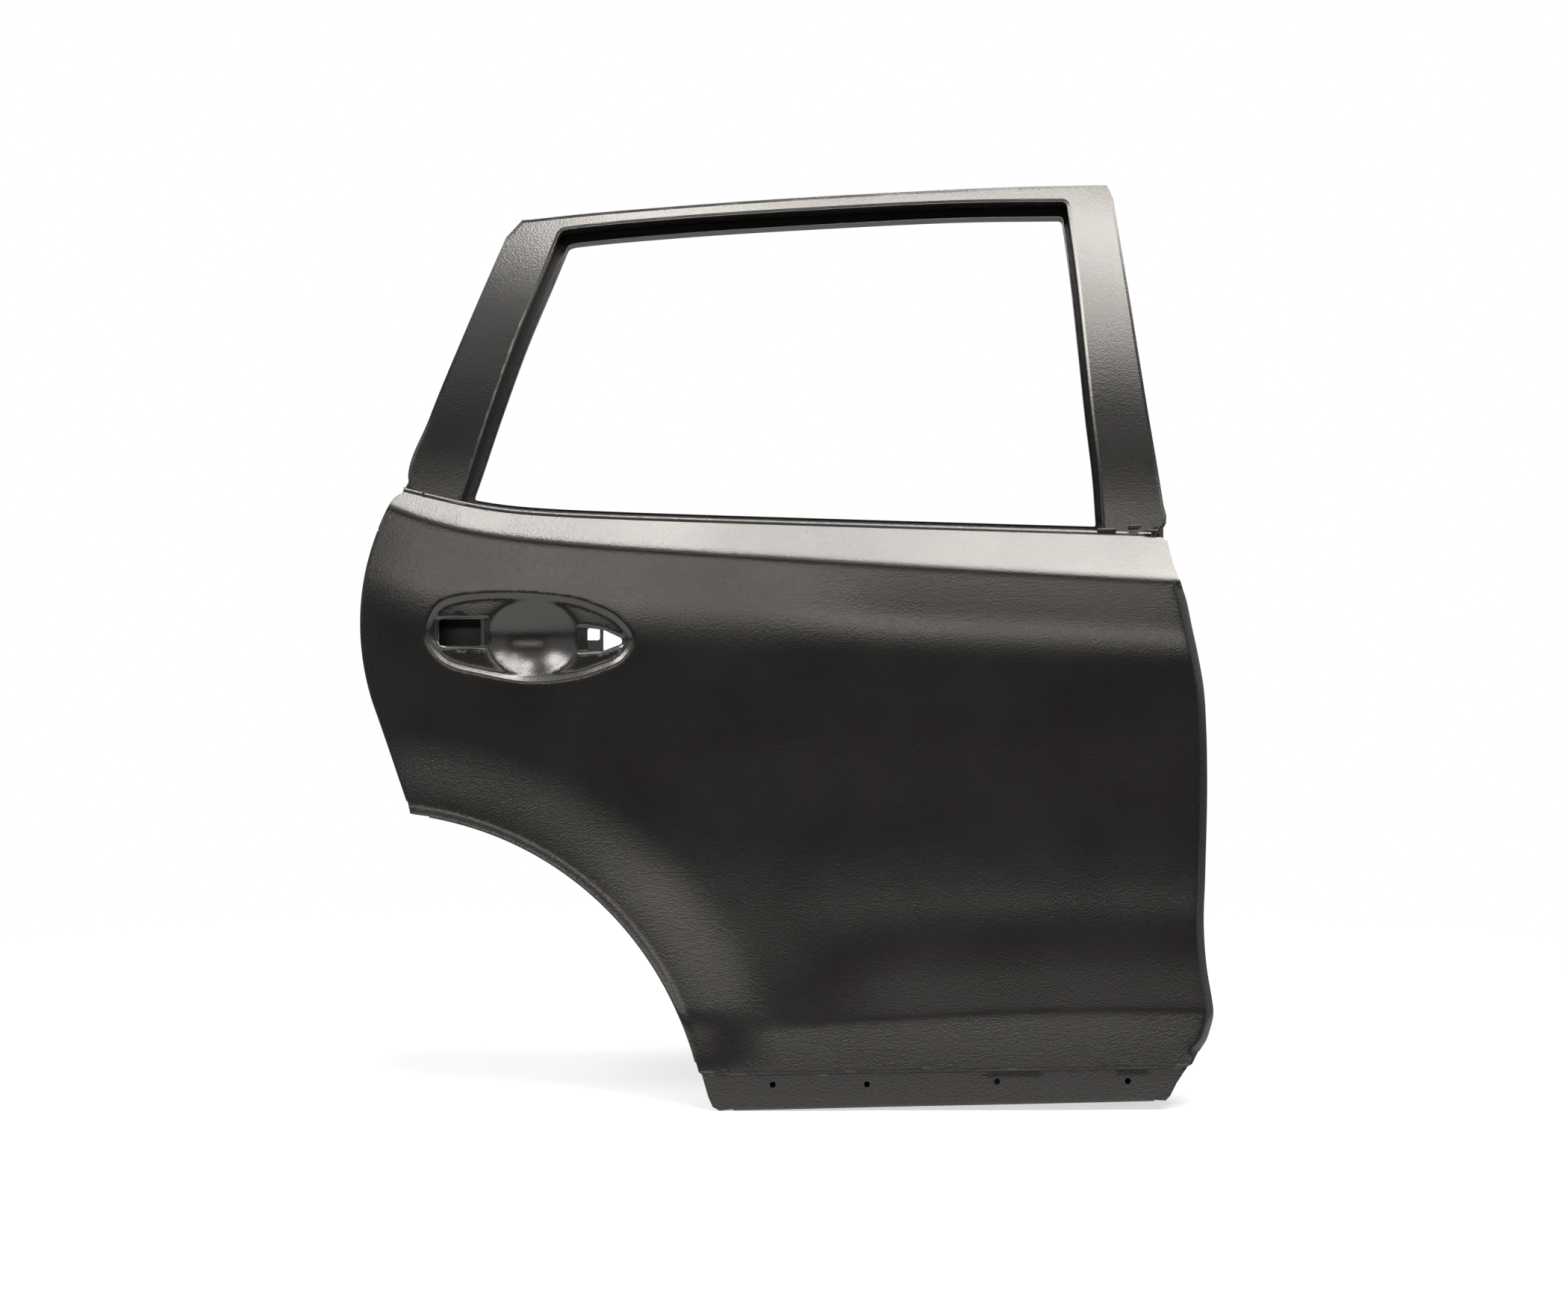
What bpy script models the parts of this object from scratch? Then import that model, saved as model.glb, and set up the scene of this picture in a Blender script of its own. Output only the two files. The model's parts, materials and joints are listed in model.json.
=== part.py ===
"""Rear side door shell of a car, bare: pressed skin, inner panel, window frame, run channels and stiffening.

Door coordinates are in millimetres: x runs forward from the hinge face, y inboard, z up from the sill.
The finished part is in metres, with its origin at the middle of the upper hinge's mounting face.
"""

import math

import bmesh
import bpy
import numpy as np
from mathutils import Matrix, Vector
from mathutils.geometry import delaunay_2d_cdt

MM = 0.001

# A triangle whose middle lies this close to an edge of its region is a flat leftover outside it
SLIVER = 0.002

# Sheet metal and the gaps between welded layers
SKIN = 0.8
INNER = 0.8
HEAVY = 1.8
GAP = 0.5

# Hem of the skin round the inner panel's flange
HEM_RADIUS = SKIN + GAP + INNER / 2
HEM_RETURN = 8.5
BORDER = 12.0
FLANGE_EDGE = HEM_RADIUS + 0.9
FLANGE_GAP = 0.6
FLANGE_DROP = 2.4
FLANGE_STEP = 6.0

# Hinge face, latch face and fastenings
HINGE_X = 0.0
HINGE_Y = 52.0
UPPER_HINGE_Z = 518.0
LOWER_HINGE_Z = 190.0
CHECK_Z = 365.0
HINGE_BOLT_SPACING = 46.0
HINGE_BOLT_HOLE = 11.0
CHECK_BOLT_SPACING = 50.0
CHECK_BOLT_HOLE = 7.0
CHECK_SLOT = (18.0, 28.0)
PLATE_HALF = 39.0
PLATE_LOW_Y = 30.0
PLATE_FLANGE = 42.0
PLATE_BEND = 4.0
LATCH_X = -1078.0
LATCH_Z = 640.0
LATCH_Y = 66.0
LATCH_HALF = 47.0
LATCH_LOW_Y = 46.0
LATCH_SLOT = (24.0, 44.0)
LATCH_SCREW_HOLE = 8.0
LATCH_SCREWS = ((54, 33), (78, 33), (66, -34))
HARNESS_HOLE = 38.0
HARNESS_HOLE_PLACE = (60.0, 285.0)

# Bolts of each plate on the hinge wall: height, spacing and hole
FASTENINGS = (
    (UPPER_HINGE_Z, HINGE_BOLT_SPACING, HINGE_BOLT_HOLE),
    (LOWER_HINGE_Z, HINGE_BOLT_SPACING, HINGE_BOLT_HOLE),
    (CHECK_Z, CHECK_BOLT_SPACING, CHECK_BOLT_HOLE),
)
CUTTER_LENGTH = 16.0

# Outline: the front edge by height, the sill, the wheel arch and the rear edge
FRONT_EDGE = (
    (756, -24.5), (717, -17), (676, -2), (636, 6), (597, 14), (557, 21), (498, 25), (438, 26.5), (300, 23.5),
    (242, 21), (182, 25), (143, 31.5), (126, 33.5), (103, 28), (88, 22), (74, 11), (66, 5),
)
SILL_FRONT_END = ((1.5, 61), (-4, 57.5), (-18, 36), (-27, 18.5), (-33, 12.5))
BOTTOM_Z = 12.6
BOTTOM_SLOPE = 0.0202
ARCH_CENTRE = (-1082.4, -54.9)
ARCH_RADIUS = 443.8
ARCH_LOW_Z = 63.7
ARCH_REAR_X = -1009.2
ARCH_LOW_X = ARCH_CENTRE[0] + math.sqrt(ARCH_RADIUS**2 - (ARCH_LOW_Z - ARCH_CENTRE[1]) ** 2)
ARCH_REAR_Z = ARCH_CENTRE[1] + math.sqrt(ARCH_RADIUS**2 - (ARCH_REAR_X - ARCH_CENTRE[0]) ** 2)
REAR_EDGE_X = -1103.5
REAR_MIDDLE_Z = 640.0
REAR_RADIUS = 346.5
REAR_STRAIGHT_TOP = 536.4
REAR_TOP_Z = 808.0
REAR_CORNER = (-1034.5, ARCH_REAR_Z + 5.2)
BELT_FRONT_X = -44.0
BELT_REAR_INSET = 12.0

# The sill's rear end: distance ahead of the arch's low end, and height above the bottom line
SILL_REAR_END = ((32.7, 0.2), (23.7, 5.2), (18.7, 17.3), (10.2, 48.4), (5.2, 52.0))

# Lines of the skin, by distance back from the hinge face
BELT_Z = 755.0
BELT_RISE = 0.0295
CREASE_Z = 696.8
CREASE_RISE = 0.053
LOWER_CREASE_Z = 130.5
SILL_STEP_Z = 60.4
SILL_STEP_RISE = 0.0132

# Depth of the skin
BELT_Y = 57.0
PLAN_SAG = 8.0
PLAN_MIDDLE = -540.0
PLAN_REACH = 500.0
FACET_LEAN = 33.0
SILL_LEAN = 12.0
BAND_LEAN = 4.0
SILL_STEP = 5.0
FLARE = 8.0
FLARE_WIDTH = 125.0
LIP_FLARE = 2.5
LIP_FLARE_WIDTH = 14.0
DROP_WIDTH = 9.0

# Bowl for the fingers
BOWL = (-872.0, 620.5)
BOWL_HALF = (61.5, 49.5)
BOWL_DEPTH = 24.0
BOWL_REAR_X = BOWL[0] - BOWL_HALF[0]
BOWL_FRONT_X = BOWL[0] + BOWL_HALF[0]

# Handle recess and its two openings, by distance from the bowl's front and rear ends, and height
RECESS_REAR_LOW = ((53.5, 563.5), (-8.5, 573.5), (-56.5, 588))
RECESS_REAR_TOP = ((-81.5, 622), (-69.5, 661), (-38.5, 677), (28.5, 682))
RECESS_FRONT = ((-20.5, 677), (20.5, 666), (53.5, 649), (74, 620), (58.5, 593), (29.5, 579), (-10.5, 567.5))
RECESS_DEPTH = 5.0
RECESS_WALL = 6.0
REAR_HANDLE_HOLE = ((-63.5, 611), (-2.5, 611), (-2.5, 646.5), (-63.5, 646.5))
FRONT_HANDLE_HOLE = ((12, 604.5), (33, 604.5), (58, 614), (58, 621), (33.5, 632.5), (12, 635))
SEAT_DEPTH = 3.0
SEAT_WALL = 2.5
REAR_SEAT = ((-69, 650), (5, 652), (5, 604.5), (-60, 607.5), (-69, 616))
FRONT_SEAT = ((-5, 641), (9, 640.5), (34, 636), (62, 625), (63.5, 617), (60, 609), (34, 600.5), (-5, 598.5))
REINFORCEMENT_REAR_HOLE = ((-65.5, 609), (-65.5, 648.5), (-7.5, 648.5), (-7.5, 609))
REINFORCEMENT_WEB_HOLE = ((8.5, 618.5), (8.5, 637), (28.5, 635.5), (28.5, 618.5))
REINFORCEMENT_NOSE_HOLE = ((33, 602.5), (33, 634.5), (60, 622), (60, 613))

CLIP_HOLE = 8.0
CLIP_HOLES = ((ARCH_LOW_X + 102.9, 34.5), (-427.5, 34.5), (-255.8, 38), (-83, 38.5))

# Window frame: a face on an upright cylinder that leans in towards the roof
FRAME_SETBACK = 11.0
FRAME_RADIUS = 1354.0
FRAME_LEAN = 7.0
FRAME_REF_Z = 770.0
FRAME_FOLD = 13.0
RING_DEPTH = 33.0
REAR_SASH_OUTER = ((748, -1028), (800, -1036), (835, -1042), (915, -1015), (1038, -968), (1166, -918))
FRONT_SASH_OUTER = (
    (700, -58), (745, -50), (775, -24.5), (800, -28), (845, -34.5), (915, -45), (997, -56), (1080, -66), (1164, -76),
    (1223, -82.5),
)
HEADER_TOP = ((-891, 1190.5), (-815, 1199), (-712, 1208), (-609, 1216), (-403, 1229), (-196, 1239), (-88, 1241.5))
REAR_SASH_INNER = ((748, -994), (820, -968), (925.6, -934.5), (1028, -900.5), (1121, -865.5), (1178, -844.8))
FRONT_SASH_INNER = ((700, -104), (777, -108.6), (835, -112), (926, -121), (1028, -129), (1121, -136), (1220, -145.4))
HEADER_BOTTOM = ((-845, 1178), (-814, 1182), (-691, 1193.7), (-485, 1207.7), (-279, 1218), (-145.4, 1220))
LIP_REAR = 14.0
LIP_FRONT = 6.0
LIP_HEADER = 11.0
WAIST_ABOVE_BELT = 14.0
RING_RETURN = 6.0

# Where the runs of the frame's edges start and end, by height on the sashes and by distance along the header
OUTER_FRONT_RUN = (784.0, 1214.0)
OUTER_HEADER_RUN = (-102.0, -882.0)
OUTER_REAR_RUN = (1158.0, 838.0)
OUTER_FRONT_LOW = (700.0, 720.0, 738.0, 747.0, 756.0, 765.0, 775.0)
OUTER_REAR_LOW = (820.0, 800.0, 774.0, 748.0)
INNER_REAR_RUN = (748.0, 1168.0)
INNER_HEADER_RUN = (-836.0, -156.0)
INNER_FRONT_RUN = (1212.0, 700.0)
WINDOW_SILL_RUN = (-124.0, -938.0)
WINDOW_REAR_RUN = (838.0, 1140.0)
WINDOW_HEADER_RUN = (-805.0, -172.0)
WINDOW_FRONT_RUN = (1186.0, 792.0)

# Inner panel's box: its runs, and how far its foot and its top lie inside the door's edge on each side
BOX_FRONT_RUN = (700.0, 96.0)
BOX_SILL_RUN = (-66.0, ARCH_LOW_X + 66.7)
BOX_REAR_RUN = (REAR_CORNER[1] + 44, 770.0)
BOX_REAR_SASH_RUN = (858.0, 1148.0)
BOX_HEADER_RUN = (-868.0, -120.0)
BOX_FRONT_SASH_RUN = (1204.0, 806.0)
BOX_ARCH_LOW_Z = 112.0
BOX_ARCH_REAR_X = -970.0
BOX_FOOT = {"side": 19.0, "bottom": 17.0, "arch": 17.0, "sash": 7.0, "header": 2.8}
BOX_TOP = {"side": 20.0, "bottom": 44.0, "arch": 30.0, "sash": 13.0, "header": 5.4}

# Glass run channels
CHANNEL = 0.8
CHANNEL_FRONT = FRAME_FOLD + GAP + CHANNEL
CHANNEL_BACK = RING_DEPTH - GAP - CHANNEL
CHANNEL_LIP = 2.0
SASH_CHANNEL_DEPTH = 15.0
HEADER_CHANNEL_DEPTH = 6.5
LOWER_CHANNEL_DEPTH = 12.0
GLASS_SLOPE = 0.1116
LOWER_CHANNEL_TOP = 774.0
LOWER_CHANNEL_BOTTOM = 400.0
FRONT_LOWER_CHANNEL_X = -112.7
REAR_LOWER_CHANNEL_X = -937.2
CHANNEL_BRACKET_Z = {"front": 441.0, "rear": 428.0}
FRONT_CHANNEL_RUN = (786.0, 1216.0)
HEADER_CHANNEL_RUN = (-150.0, -841.0)
REAR_CHANNEL_RUN = (1172.0, 806.0)
CHANNEL_BRACKET_HALF = 21.0
CHANNEL_BRACKET_REACH = 24.0

# Belt reinforcements: depth and height from the belt's edge, and depth on the window frame
WAIST_OUTER = ((8.0, 4.6), (8.0, -1), (-2, -12), (-2, -40))
WAIST_OUTER_FLANGE = (-50, -60)
WAIST_OUTER_ENDS = (-62.0, -1000.0)
WAIST_INNER = ((8, 0), (-6, 0), (-13, 4.7), (-31, 4.7), (-38, 0), (-46, 0))
WAIST_INNER_ENDS = (-126.0, -914.0)

# Brackets that tie the legs of the window frame to the inner panel
SASH_BRACKET = 1.2
SASH_BRACKET_STEPS = ((0, 0), (-30, 0), (-46, 1), (-72, 1))
FRONT_SASH_BRACKET = ((-80.0, -61.5), 738.0)
REAR_SASH_BRACKET = ((-1021.0, -1002.0), 788.0)

# Openings of the inner panel
SERVICE_OPENING = ((-545, 352), (-640, 450), (-640, 600), (-560, 640), (-250, 590), (-250, 352))
REAR_OPENING = ((-850, 470), (-876, 505), (-876, 640), (-715, 640), (-715, 470))
SPEAKER_CENTRE = (-300.0, 212.0)
SPEAKER_HOLE = 150.0
POCKET_DEPTH = 7.0
POCKET_WALL = 8.0
POCKET_BORDER = 14.0

# Side impact beam
BEAM_DIAMETER = 32.0
BEAM_WALL = 2.5
BEAM_FRONT = (-14.0, 33.0, 440.0)
BEAM_REAR = (-990.0, 52.0, 462.0)
FRONT_BEAM_BRACKET = (26.0, 7.0, 58.0)
REAR_BEAM_BRACKET = ((-945.0, -995.0), 16.0)
MASTIC_PLACES = (-250.0, -520.0, -790.0)
MASTIC_HALF = (24.0, 9.0)
MASTIC_GAP = 0.4

# Weld nuts: width across flats, height and thread bore
HINGE_NUT = (17.0, 9.0, 8.5)
CHECK_NUT = (10.0, 6.0, 5.0)
NUT_GAP = 0.3


def ramp(value, width):
    """Rises from zero to the value itself, rounded over the width."""
    return (value + np.sqrt(value * value + width * width)) / 2


def smooth(value):
    value = np.clip(value, 0, 1)
    return value * value * (3 - 2 * value)


def curve_through(stations):
    """A smooth function through (position, value) stations."""
    at, value = np.array(sorted(stations), float).T
    slope = np.gradient(value, at)

    def read(where):
        where = np.clip(where, at[0], at[-1])
        index = np.clip(np.searchsorted(at, where) - 1, 0, len(at) - 2)
        step = at[index + 1] - at[index]
        t = (where - at[index]) / step
        start = (2 * t**3 - 3 * t**2 + 1) * value[index] + (t**3 - 2 * t**2 + t) * step * slope[index]
        end = (3 * t**2 - 2 * t**3) * value[index + 1] + (t**3 - t**2) * step * slope[index + 1]
        return start + end

    return read


def closed_curve(points, per_span):
    """A closed smooth loop through the points."""
    points = np.array(points, float)
    loop = []
    for i in range(len(points)):
        before, start, end, after = (points[(i + k) % len(points)] for k in (-1, 0, 1, 2))
        for t in np.arange(per_span) / per_span:
            bend = 2 * before - 5 * start + 4 * end - after
            third = 3 * start - before - 3 * end + after
            loop.append(start + 0.5 * ((end - before) * t + bend * t**2 + third * t**3))
    return np.array(loop)


def lean_table(stations):
    """Depth gained from a share of the height up to its top, for the skin's lean in degrees at each share."""
    share = np.linspace(0, 1, 161)
    lean = np.tan(np.radians(np.interp(share, *np.array(stations).T)))
    steps = (lean[1:] + lean[:-1]) / 2 * (share[1] - share[0])
    depth = np.concatenate([[0], np.cumsum(steps)])
    return lambda where: depth[-1] - np.interp(where, share, depth)


FRONT_LEANS = lean_table(
    ((0, 3.5), (0.08, 3), (0.25, 8.5), (0.45, 2), (0.6, 0), (0.8, 0.5), (0.9, 11.5), (0.96, 10), (1, 8))
)
REAR_LEANS = lean_table(((0, 10), (0.15, 9), (0.3, 7), (0.45, 3), (0.6, 0.3), (0.8, 0.5), (0.9, 8), (1, 6)))

front_edge_x = curve_through(FRONT_EDGE)
rear_sash_outer_x = curve_through(REAR_SASH_OUTER)
front_sash_outer_x = curve_through(FRONT_SASH_OUTER)
header_top_z = curve_through(HEADER_TOP)
rear_sash_inner_x = curve_through(REAR_SASH_INNER)
front_sash_inner_x = curve_through(FRONT_SASH_INNER)
header_bottom_z = curve_through(HEADER_BOTTOM)


def belt_z(x):
    return BELT_Z + BELT_RISE * (-x - 26) + 0.24 * ramp(-x - 930, 70)


def crease_z(x):
    return CREASE_Z + CREASE_RISE * (-x - 16) + 0.457 * ramp(-x - 1000, 110)


def lower_crease_z(x):
    return LOWER_CREASE_Z - 1.05e-4 * (x + 80) ** 2


def sill_step_z(x):
    return SILL_STEP_Z + SILL_STEP_RISE * x


def bottom_z(x):
    return BOTTOM_Z + BOTTOM_SLOPE * x


def rear_edge_x(z):
    arc_z = np.maximum(z, REAR_STRAIGHT_TOP) - REAR_MIDDLE_Z
    arc_x = REAR_EDGE_X + REAR_RADIUS - np.sqrt(np.maximum(REAR_RADIUS**2 - arc_z**2, 1))
    rise = (z - REAR_CORNER[1]) / (REAR_STRAIGHT_TOP - REAR_CORNER[1])
    line_x = REAR_CORNER[0] + (arc_x - REAR_CORNER[0]) * rise
    return np.where(z >= REAR_STRAIGHT_TOP, arc_x, line_x)


def plan_y(x):
    """The whole side of the car curves in at both ends."""
    return PLAN_SAG * ((x - PLAN_MIDDLE) / PLAN_REACH) ** 2


def distance_to(x, z, start, end):
    """The distance from each point to the nearest of the segments."""
    x = np.asarray(x, float)[..., None]
    z = np.asarray(z, float)[..., None]
    run = end - start
    along = ((x - start[:, 0]) * run[:, 0] + (z - start[:, 1]) * run[:, 1]) / (run**2).sum(axis=1)
    along = np.clip(along, 0, 1)
    return np.hypot(x - start[:, 0] - along * run[:, 0], z - start[:, 1] - along * run[:, 1]).min(axis=-1)


def distance_inside(x, z, polygon):
    """How far each point lies inside the polygon, negative outside."""
    start = np.asarray(polygon, float)
    end = np.roll(start, -1, axis=0)
    gap = distance_to(x, z, start, end)
    x = np.asarray(x, float)[..., None]
    z = np.asarray(z, float)[..., None]
    run = end - start
    above = (start[:, 1] > z) != (end[:, 1] > z)
    height = np.where(run[:, 1] == 0, 1, run[:, 1])
    crossing = start[:, 0] + (z - start[:, 1]) * run[:, 0] / height
    return np.where((above & (x < crossing)).sum(axis=-1) % 2 == 1, gap, -gap)


def behind_bowl(points):
    """Points given by their distance ahead of the bowl's rear end."""
    return [(BOWL_REAR_X + ahead, z) for ahead, z in points]


def ahead_of_bowl(points):
    """Points given by their distance ahead of the bowl's front end."""
    return [(BOWL_FRONT_X + ahead, z) for ahead, z in points]


RECESS = behind_bowl(RECESS_REAR_TOP) + ahead_of_bowl(RECESS_FRONT) + behind_bowl(RECESS_REAR_LOW)
RECESS_LOOP = closed_curve(RECESS, 2)
SEATS = (behind_bowl(REAR_SEAT), ahead_of_bowl(FRONT_SEAT))


def front_drop(x, z):
    """The skin's front edge turns back at 45 degrees between the shoulder and the sill."""
    slope = (front_edge_x(z + 1) - front_edge_x(z - 1)) / 2
    inset = (front_edge_x(z) - x) / np.sqrt(1 + slope**2)
    share = smooth((z - 68) / 14) * smooth((722 - z) / 18)
    return np.maximum(DROP_WIDTH - inset, 0) * share


def recess_depth(x, z):
    """The handle's recess, the seats round its two openings, and the bowl between them."""
    inside = distance_inside(x, z, RECESS_LOOP)
    bowl = 1 - ((x - BOWL[0]) / BOWL_HALF[0]) ** 2 - ((z - BOWL[1]) / BOWL_HALF[1]) ** 2
    deepest = BOWL_DEPTH * np.clip(bowl, 0, 1)
    for seat in SEATS:
        deepest = np.maximum(deepest, SEAT_DEPTH * np.clip(distance_inside(x, z, seat) / SEAT_WALL, 0, 1))
    return RECESS_DEPTH * np.clip(inside / RECESS_WALL, 0, 1) + deepest


def body_y(x, z):
    """The skin's depth without the handle recess."""
    x = np.asarray(x, float)
    z = np.asarray(z, float)
    belt = belt_z(x)
    crease = crease_z(x)
    lower = lower_crease_z(x)
    depth = BELT_Y + plan_y(x) - (belt - np.maximum(z, crease)) * math.tan(math.radians(FACET_LEAN))
    share = (np.clip(z, lower, crease) - lower) / (crease - lower)
    rear = smooth((-x - 350) / 270)
    depth -= (crease - lower) * ((1 - rear) * FRONT_LEANS(share) + rear * REAR_LEANS(share))
    sill = sill_step_z(x)
    depth -= np.maximum(lower - np.maximum(z, sill), 0) * math.tan(math.radians(SILL_LEAN))
    depth -= np.maximum(sill - z, 0) * math.tan(math.radians(BAND_LEAN))
    depth += SILL_STEP * np.clip((sill - z) / SILL_STEP, 0, 1)
    from_arch = np.hypot(x - ARCH_CENTRE[0], z - ARCH_CENTRE[1]) - ARCH_RADIUS
    above_sill = smooth((z - sill) / 12)
    depth -= above_sill * FLARE * smooth(1 - from_arch / FLARE_WIDTH)
    depth -= above_sill * LIP_FLARE * smooth(1 - from_arch / LIP_FLARE_WIDTH)
    return depth + front_drop(x, z)


def skin_y(x, z):
    return body_y(x, z) + recess_depth(x, z)


def slope_factor(x, z):
    """Turns a thickness into a step along y on the leaning skin."""
    by_x = (body_y(x + 0.5, z) - body_y(x - 0.5, z)) / 1.0
    by_z = (body_y(x, z + 0.5) - body_y(x, z - 0.5)) / 1.0
    return np.sqrt(1 + by_x**2 + by_z**2)


def behind_skin(points, depth):
    """Points a depth behind the skin's outer face, recess left out."""
    x, z = np.array(points, float).T
    return np.column_stack([x, body_y(x, z) + depth * slope_factor(x, z), z])


def on_skin(points):
    x, z = np.array(points, float).T
    return np.column_stack([x, skin_y(x, z), z])


def frame_lean(z):
    """Lean of the window frame's cylinder, upright at the bottom of the door."""
    rise = math.sin(math.radians(FRAME_LEAN)) + (np.asarray(z, float) - FRAME_REF_Z) / FRAME_RADIUS
    return np.arcsin(np.clip(rise, 0, 0.9))


def on_frame(points, depth):
    """Points a depth behind the window frame's face."""
    x, z = np.array(points, float).T
    lean = frame_lean(z)
    face = BELT_Y + FRAME_SETBACK + plan_y(x)
    face += FRAME_RADIUS * (math.cos(math.radians(FRAME_LEAN)) - np.cos(lean))
    return np.column_stack([x, face + depth * np.cos(lean), z - depth * np.sin(lean)])


def inward_normals(points, closed=True):
    """Unit normals to the right of the way round, mitred at each point."""
    points = np.asarray(points, float)
    if closed:
        before = np.roll(points, 1, axis=0)
        after = np.roll(points, -1, axis=0)
    else:
        before = np.vstack([2 * points[0] - points[1], points[:-1]])
        after = np.vstack([points[1:], 2 * points[-1] - points[-2]])
    first = points - before
    second = after - points
    first /= np.linalg.norm(first, axis=1)[:, None]
    second /= np.linalg.norm(second, axis=1)[:, None]
    middle = first + second
    middle /= np.linalg.norm(middle, axis=1)[:, None]
    mitre = np.clip((first * middle).sum(axis=1), 0.6, 1)
    return np.column_stack([middle[:, 1], -middle[:, 0]]) / mitre[:, None]


def inset(points, amount, closed=True):
    return np.asarray(points, float) + inward_normals(points, closed) * np.reshape(amount, (-1, 1))


def corner(before, start, end, after, count):
    """Points that round the corner between two runs, from the last two points of one to the first of the next."""
    before, start, end, after = (np.array(p, float) for p in (before, start, end, after))
    first = start - before
    second = end - after
    turn = first[0] * second[1] - first[1] * second[0]
    if abs(turn) < 0.05 * np.linalg.norm(first) * np.linalg.norm(second):
        middle = (start + end) / 2
    else:
        gap = end - start
        middle = start + first * (gap[0] * second[1] - gap[1] * second[0]) / turn
    steps = [(k + 1) / (count + 1) for k in range(count)]
    return [(1 - t) ** 2 * start + 2 * t * (1 - t) * middle + t * t * end for t in steps]


def joined(runs, counts):
    """One closed loop from runs and the rounded corner after each of them."""
    loop = []
    for run, following, count in zip(runs, runs[1:] + runs[:1], counts):
        loop.extend(np.array(run, float))
        if count:
            loop.extend(corner(run[-2], run[-1], following[0], following[1], count))
    return np.array(loop)


def side_run(edge_x, heights, offset):
    """A run up or down one side, at its inset from the edge and held to a face where one is given."""
    return [(float(edge_x(z)) + offset, z) for z in heights]


def crease_height(edge_x):
    """The height at which the shoulder crease meets an edge."""
    z = CREASE_Z
    for _ in range(30):
        z = float(crease_z(edge_x(z)))
    return z


def heights_between(start, end, count, also=()):
    heights = list(np.linspace(start, end, count))
    spacing = abs(end - start) / (count - 1)
    kept = [z for z in heights if all(abs(z - extra) > 0.4 * spacing for extra in also)]
    return sorted(kept + list(also), reverse=start > end)


def arch_run(inset_by, low_z, rear_x, count):
    """Up the wheel arch, from a height at its front to a place along its top."""
    radius = ARCH_RADIUS + inset_by
    start = math.asin((low_z - ARCH_CENTRE[1]) / radius)
    end = math.acos((rear_x - ARCH_CENTRE[0]) / radius)
    angles = np.linspace(start, end, count)
    return [(ARCH_CENTRE[0] + radius * math.cos(a), ARCH_CENTRE[1] + radius * math.sin(a)) for a in angles]


def sill_rear_end():
    """The sill's rear end, up to the low end of the arch."""
    return [(ARCH_LOW_X + ahead, float(bottom_z(ARCH_LOW_X + ahead)) + up) for ahead, up in SILL_REAR_END]


def bottom_run(start, end, count, above=0.0):
    return [(x, bottom_z(x) + above) for x in np.linspace(start, end, count)]


class Outline:
    """The skin's outline, clockwise from its front upper corner, and which stretches of it are hemmed."""

    def __init__(self):
        front = side_run(front_edge_x, heights_between(700, 76, 22, (crease_height(front_edge_x), 130)), 0)
        sill_rear = sill_rear_end()
        bottom = bottom_run(-48, sill_rear[0][0] + 18, 14)
        arch = arch_run(0, ARCH_LOW_Z, ARCH_REAR_X, 19)
        rear = side_run(rear_edge_x, heights_between(REAR_CORNER[1] + 16, 764, 14), 0)
        top = crease_height(rear_edge_x)
        rear_top = side_run(rear_edge_x, (782, top, REAR_TOP_Z), 0)
        belt_rear_x = rear_top[-1][0] + BELT_REAR_INSET
        belt = [(x, float(belt_z(x))) for x in np.linspace(belt_rear_x, BELT_FRONT_X, 30)]
        front_top = [(-31, float(belt_z(-31)))] + side_run(front_edge_x, (750, 736, 718), 0)
        pieces = (
            ("hem", front), ("plain", SILL_FRONT_END), ("hem", bottom), ("plain", sill_rear), ("hem", arch),
            ("plain", (REAR_CORNER,)), ("hem", rear), ("plain", rear_top), ("belt", belt), ("plain", front_top),
        )
        self.points = np.array([p for _, piece in pieces for p in piece], float)
        self.kinds = [kind for kind, piece in pieces for _ in piece]
        self.normals = inward_normals(self.points)
        for run in self.runs("hem"):
            self.normals[run] = inward_normals(self.points[run], closed=False)

    def runs(self, kind):
        """The index lists of the stretches of one kind."""
        found = []
        for i, own in enumerate(self.kinds):
            if own != kind:
                continue
            if found and found[-1][-1] == i - 1:
                found[-1].append(i)
            else:
                found.append([i])
        return found

    def inset(self, amount):
        return self.points + self.normals * amount

    def fold_line(self):
        """The line where the hem starts to turn, and the plain edge elsewhere."""
        away = np.array([HEM_RADIUS if kind == "hem" else 0 for kind in self.kinds])
        return self.points + self.normals * away[:, None]


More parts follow.
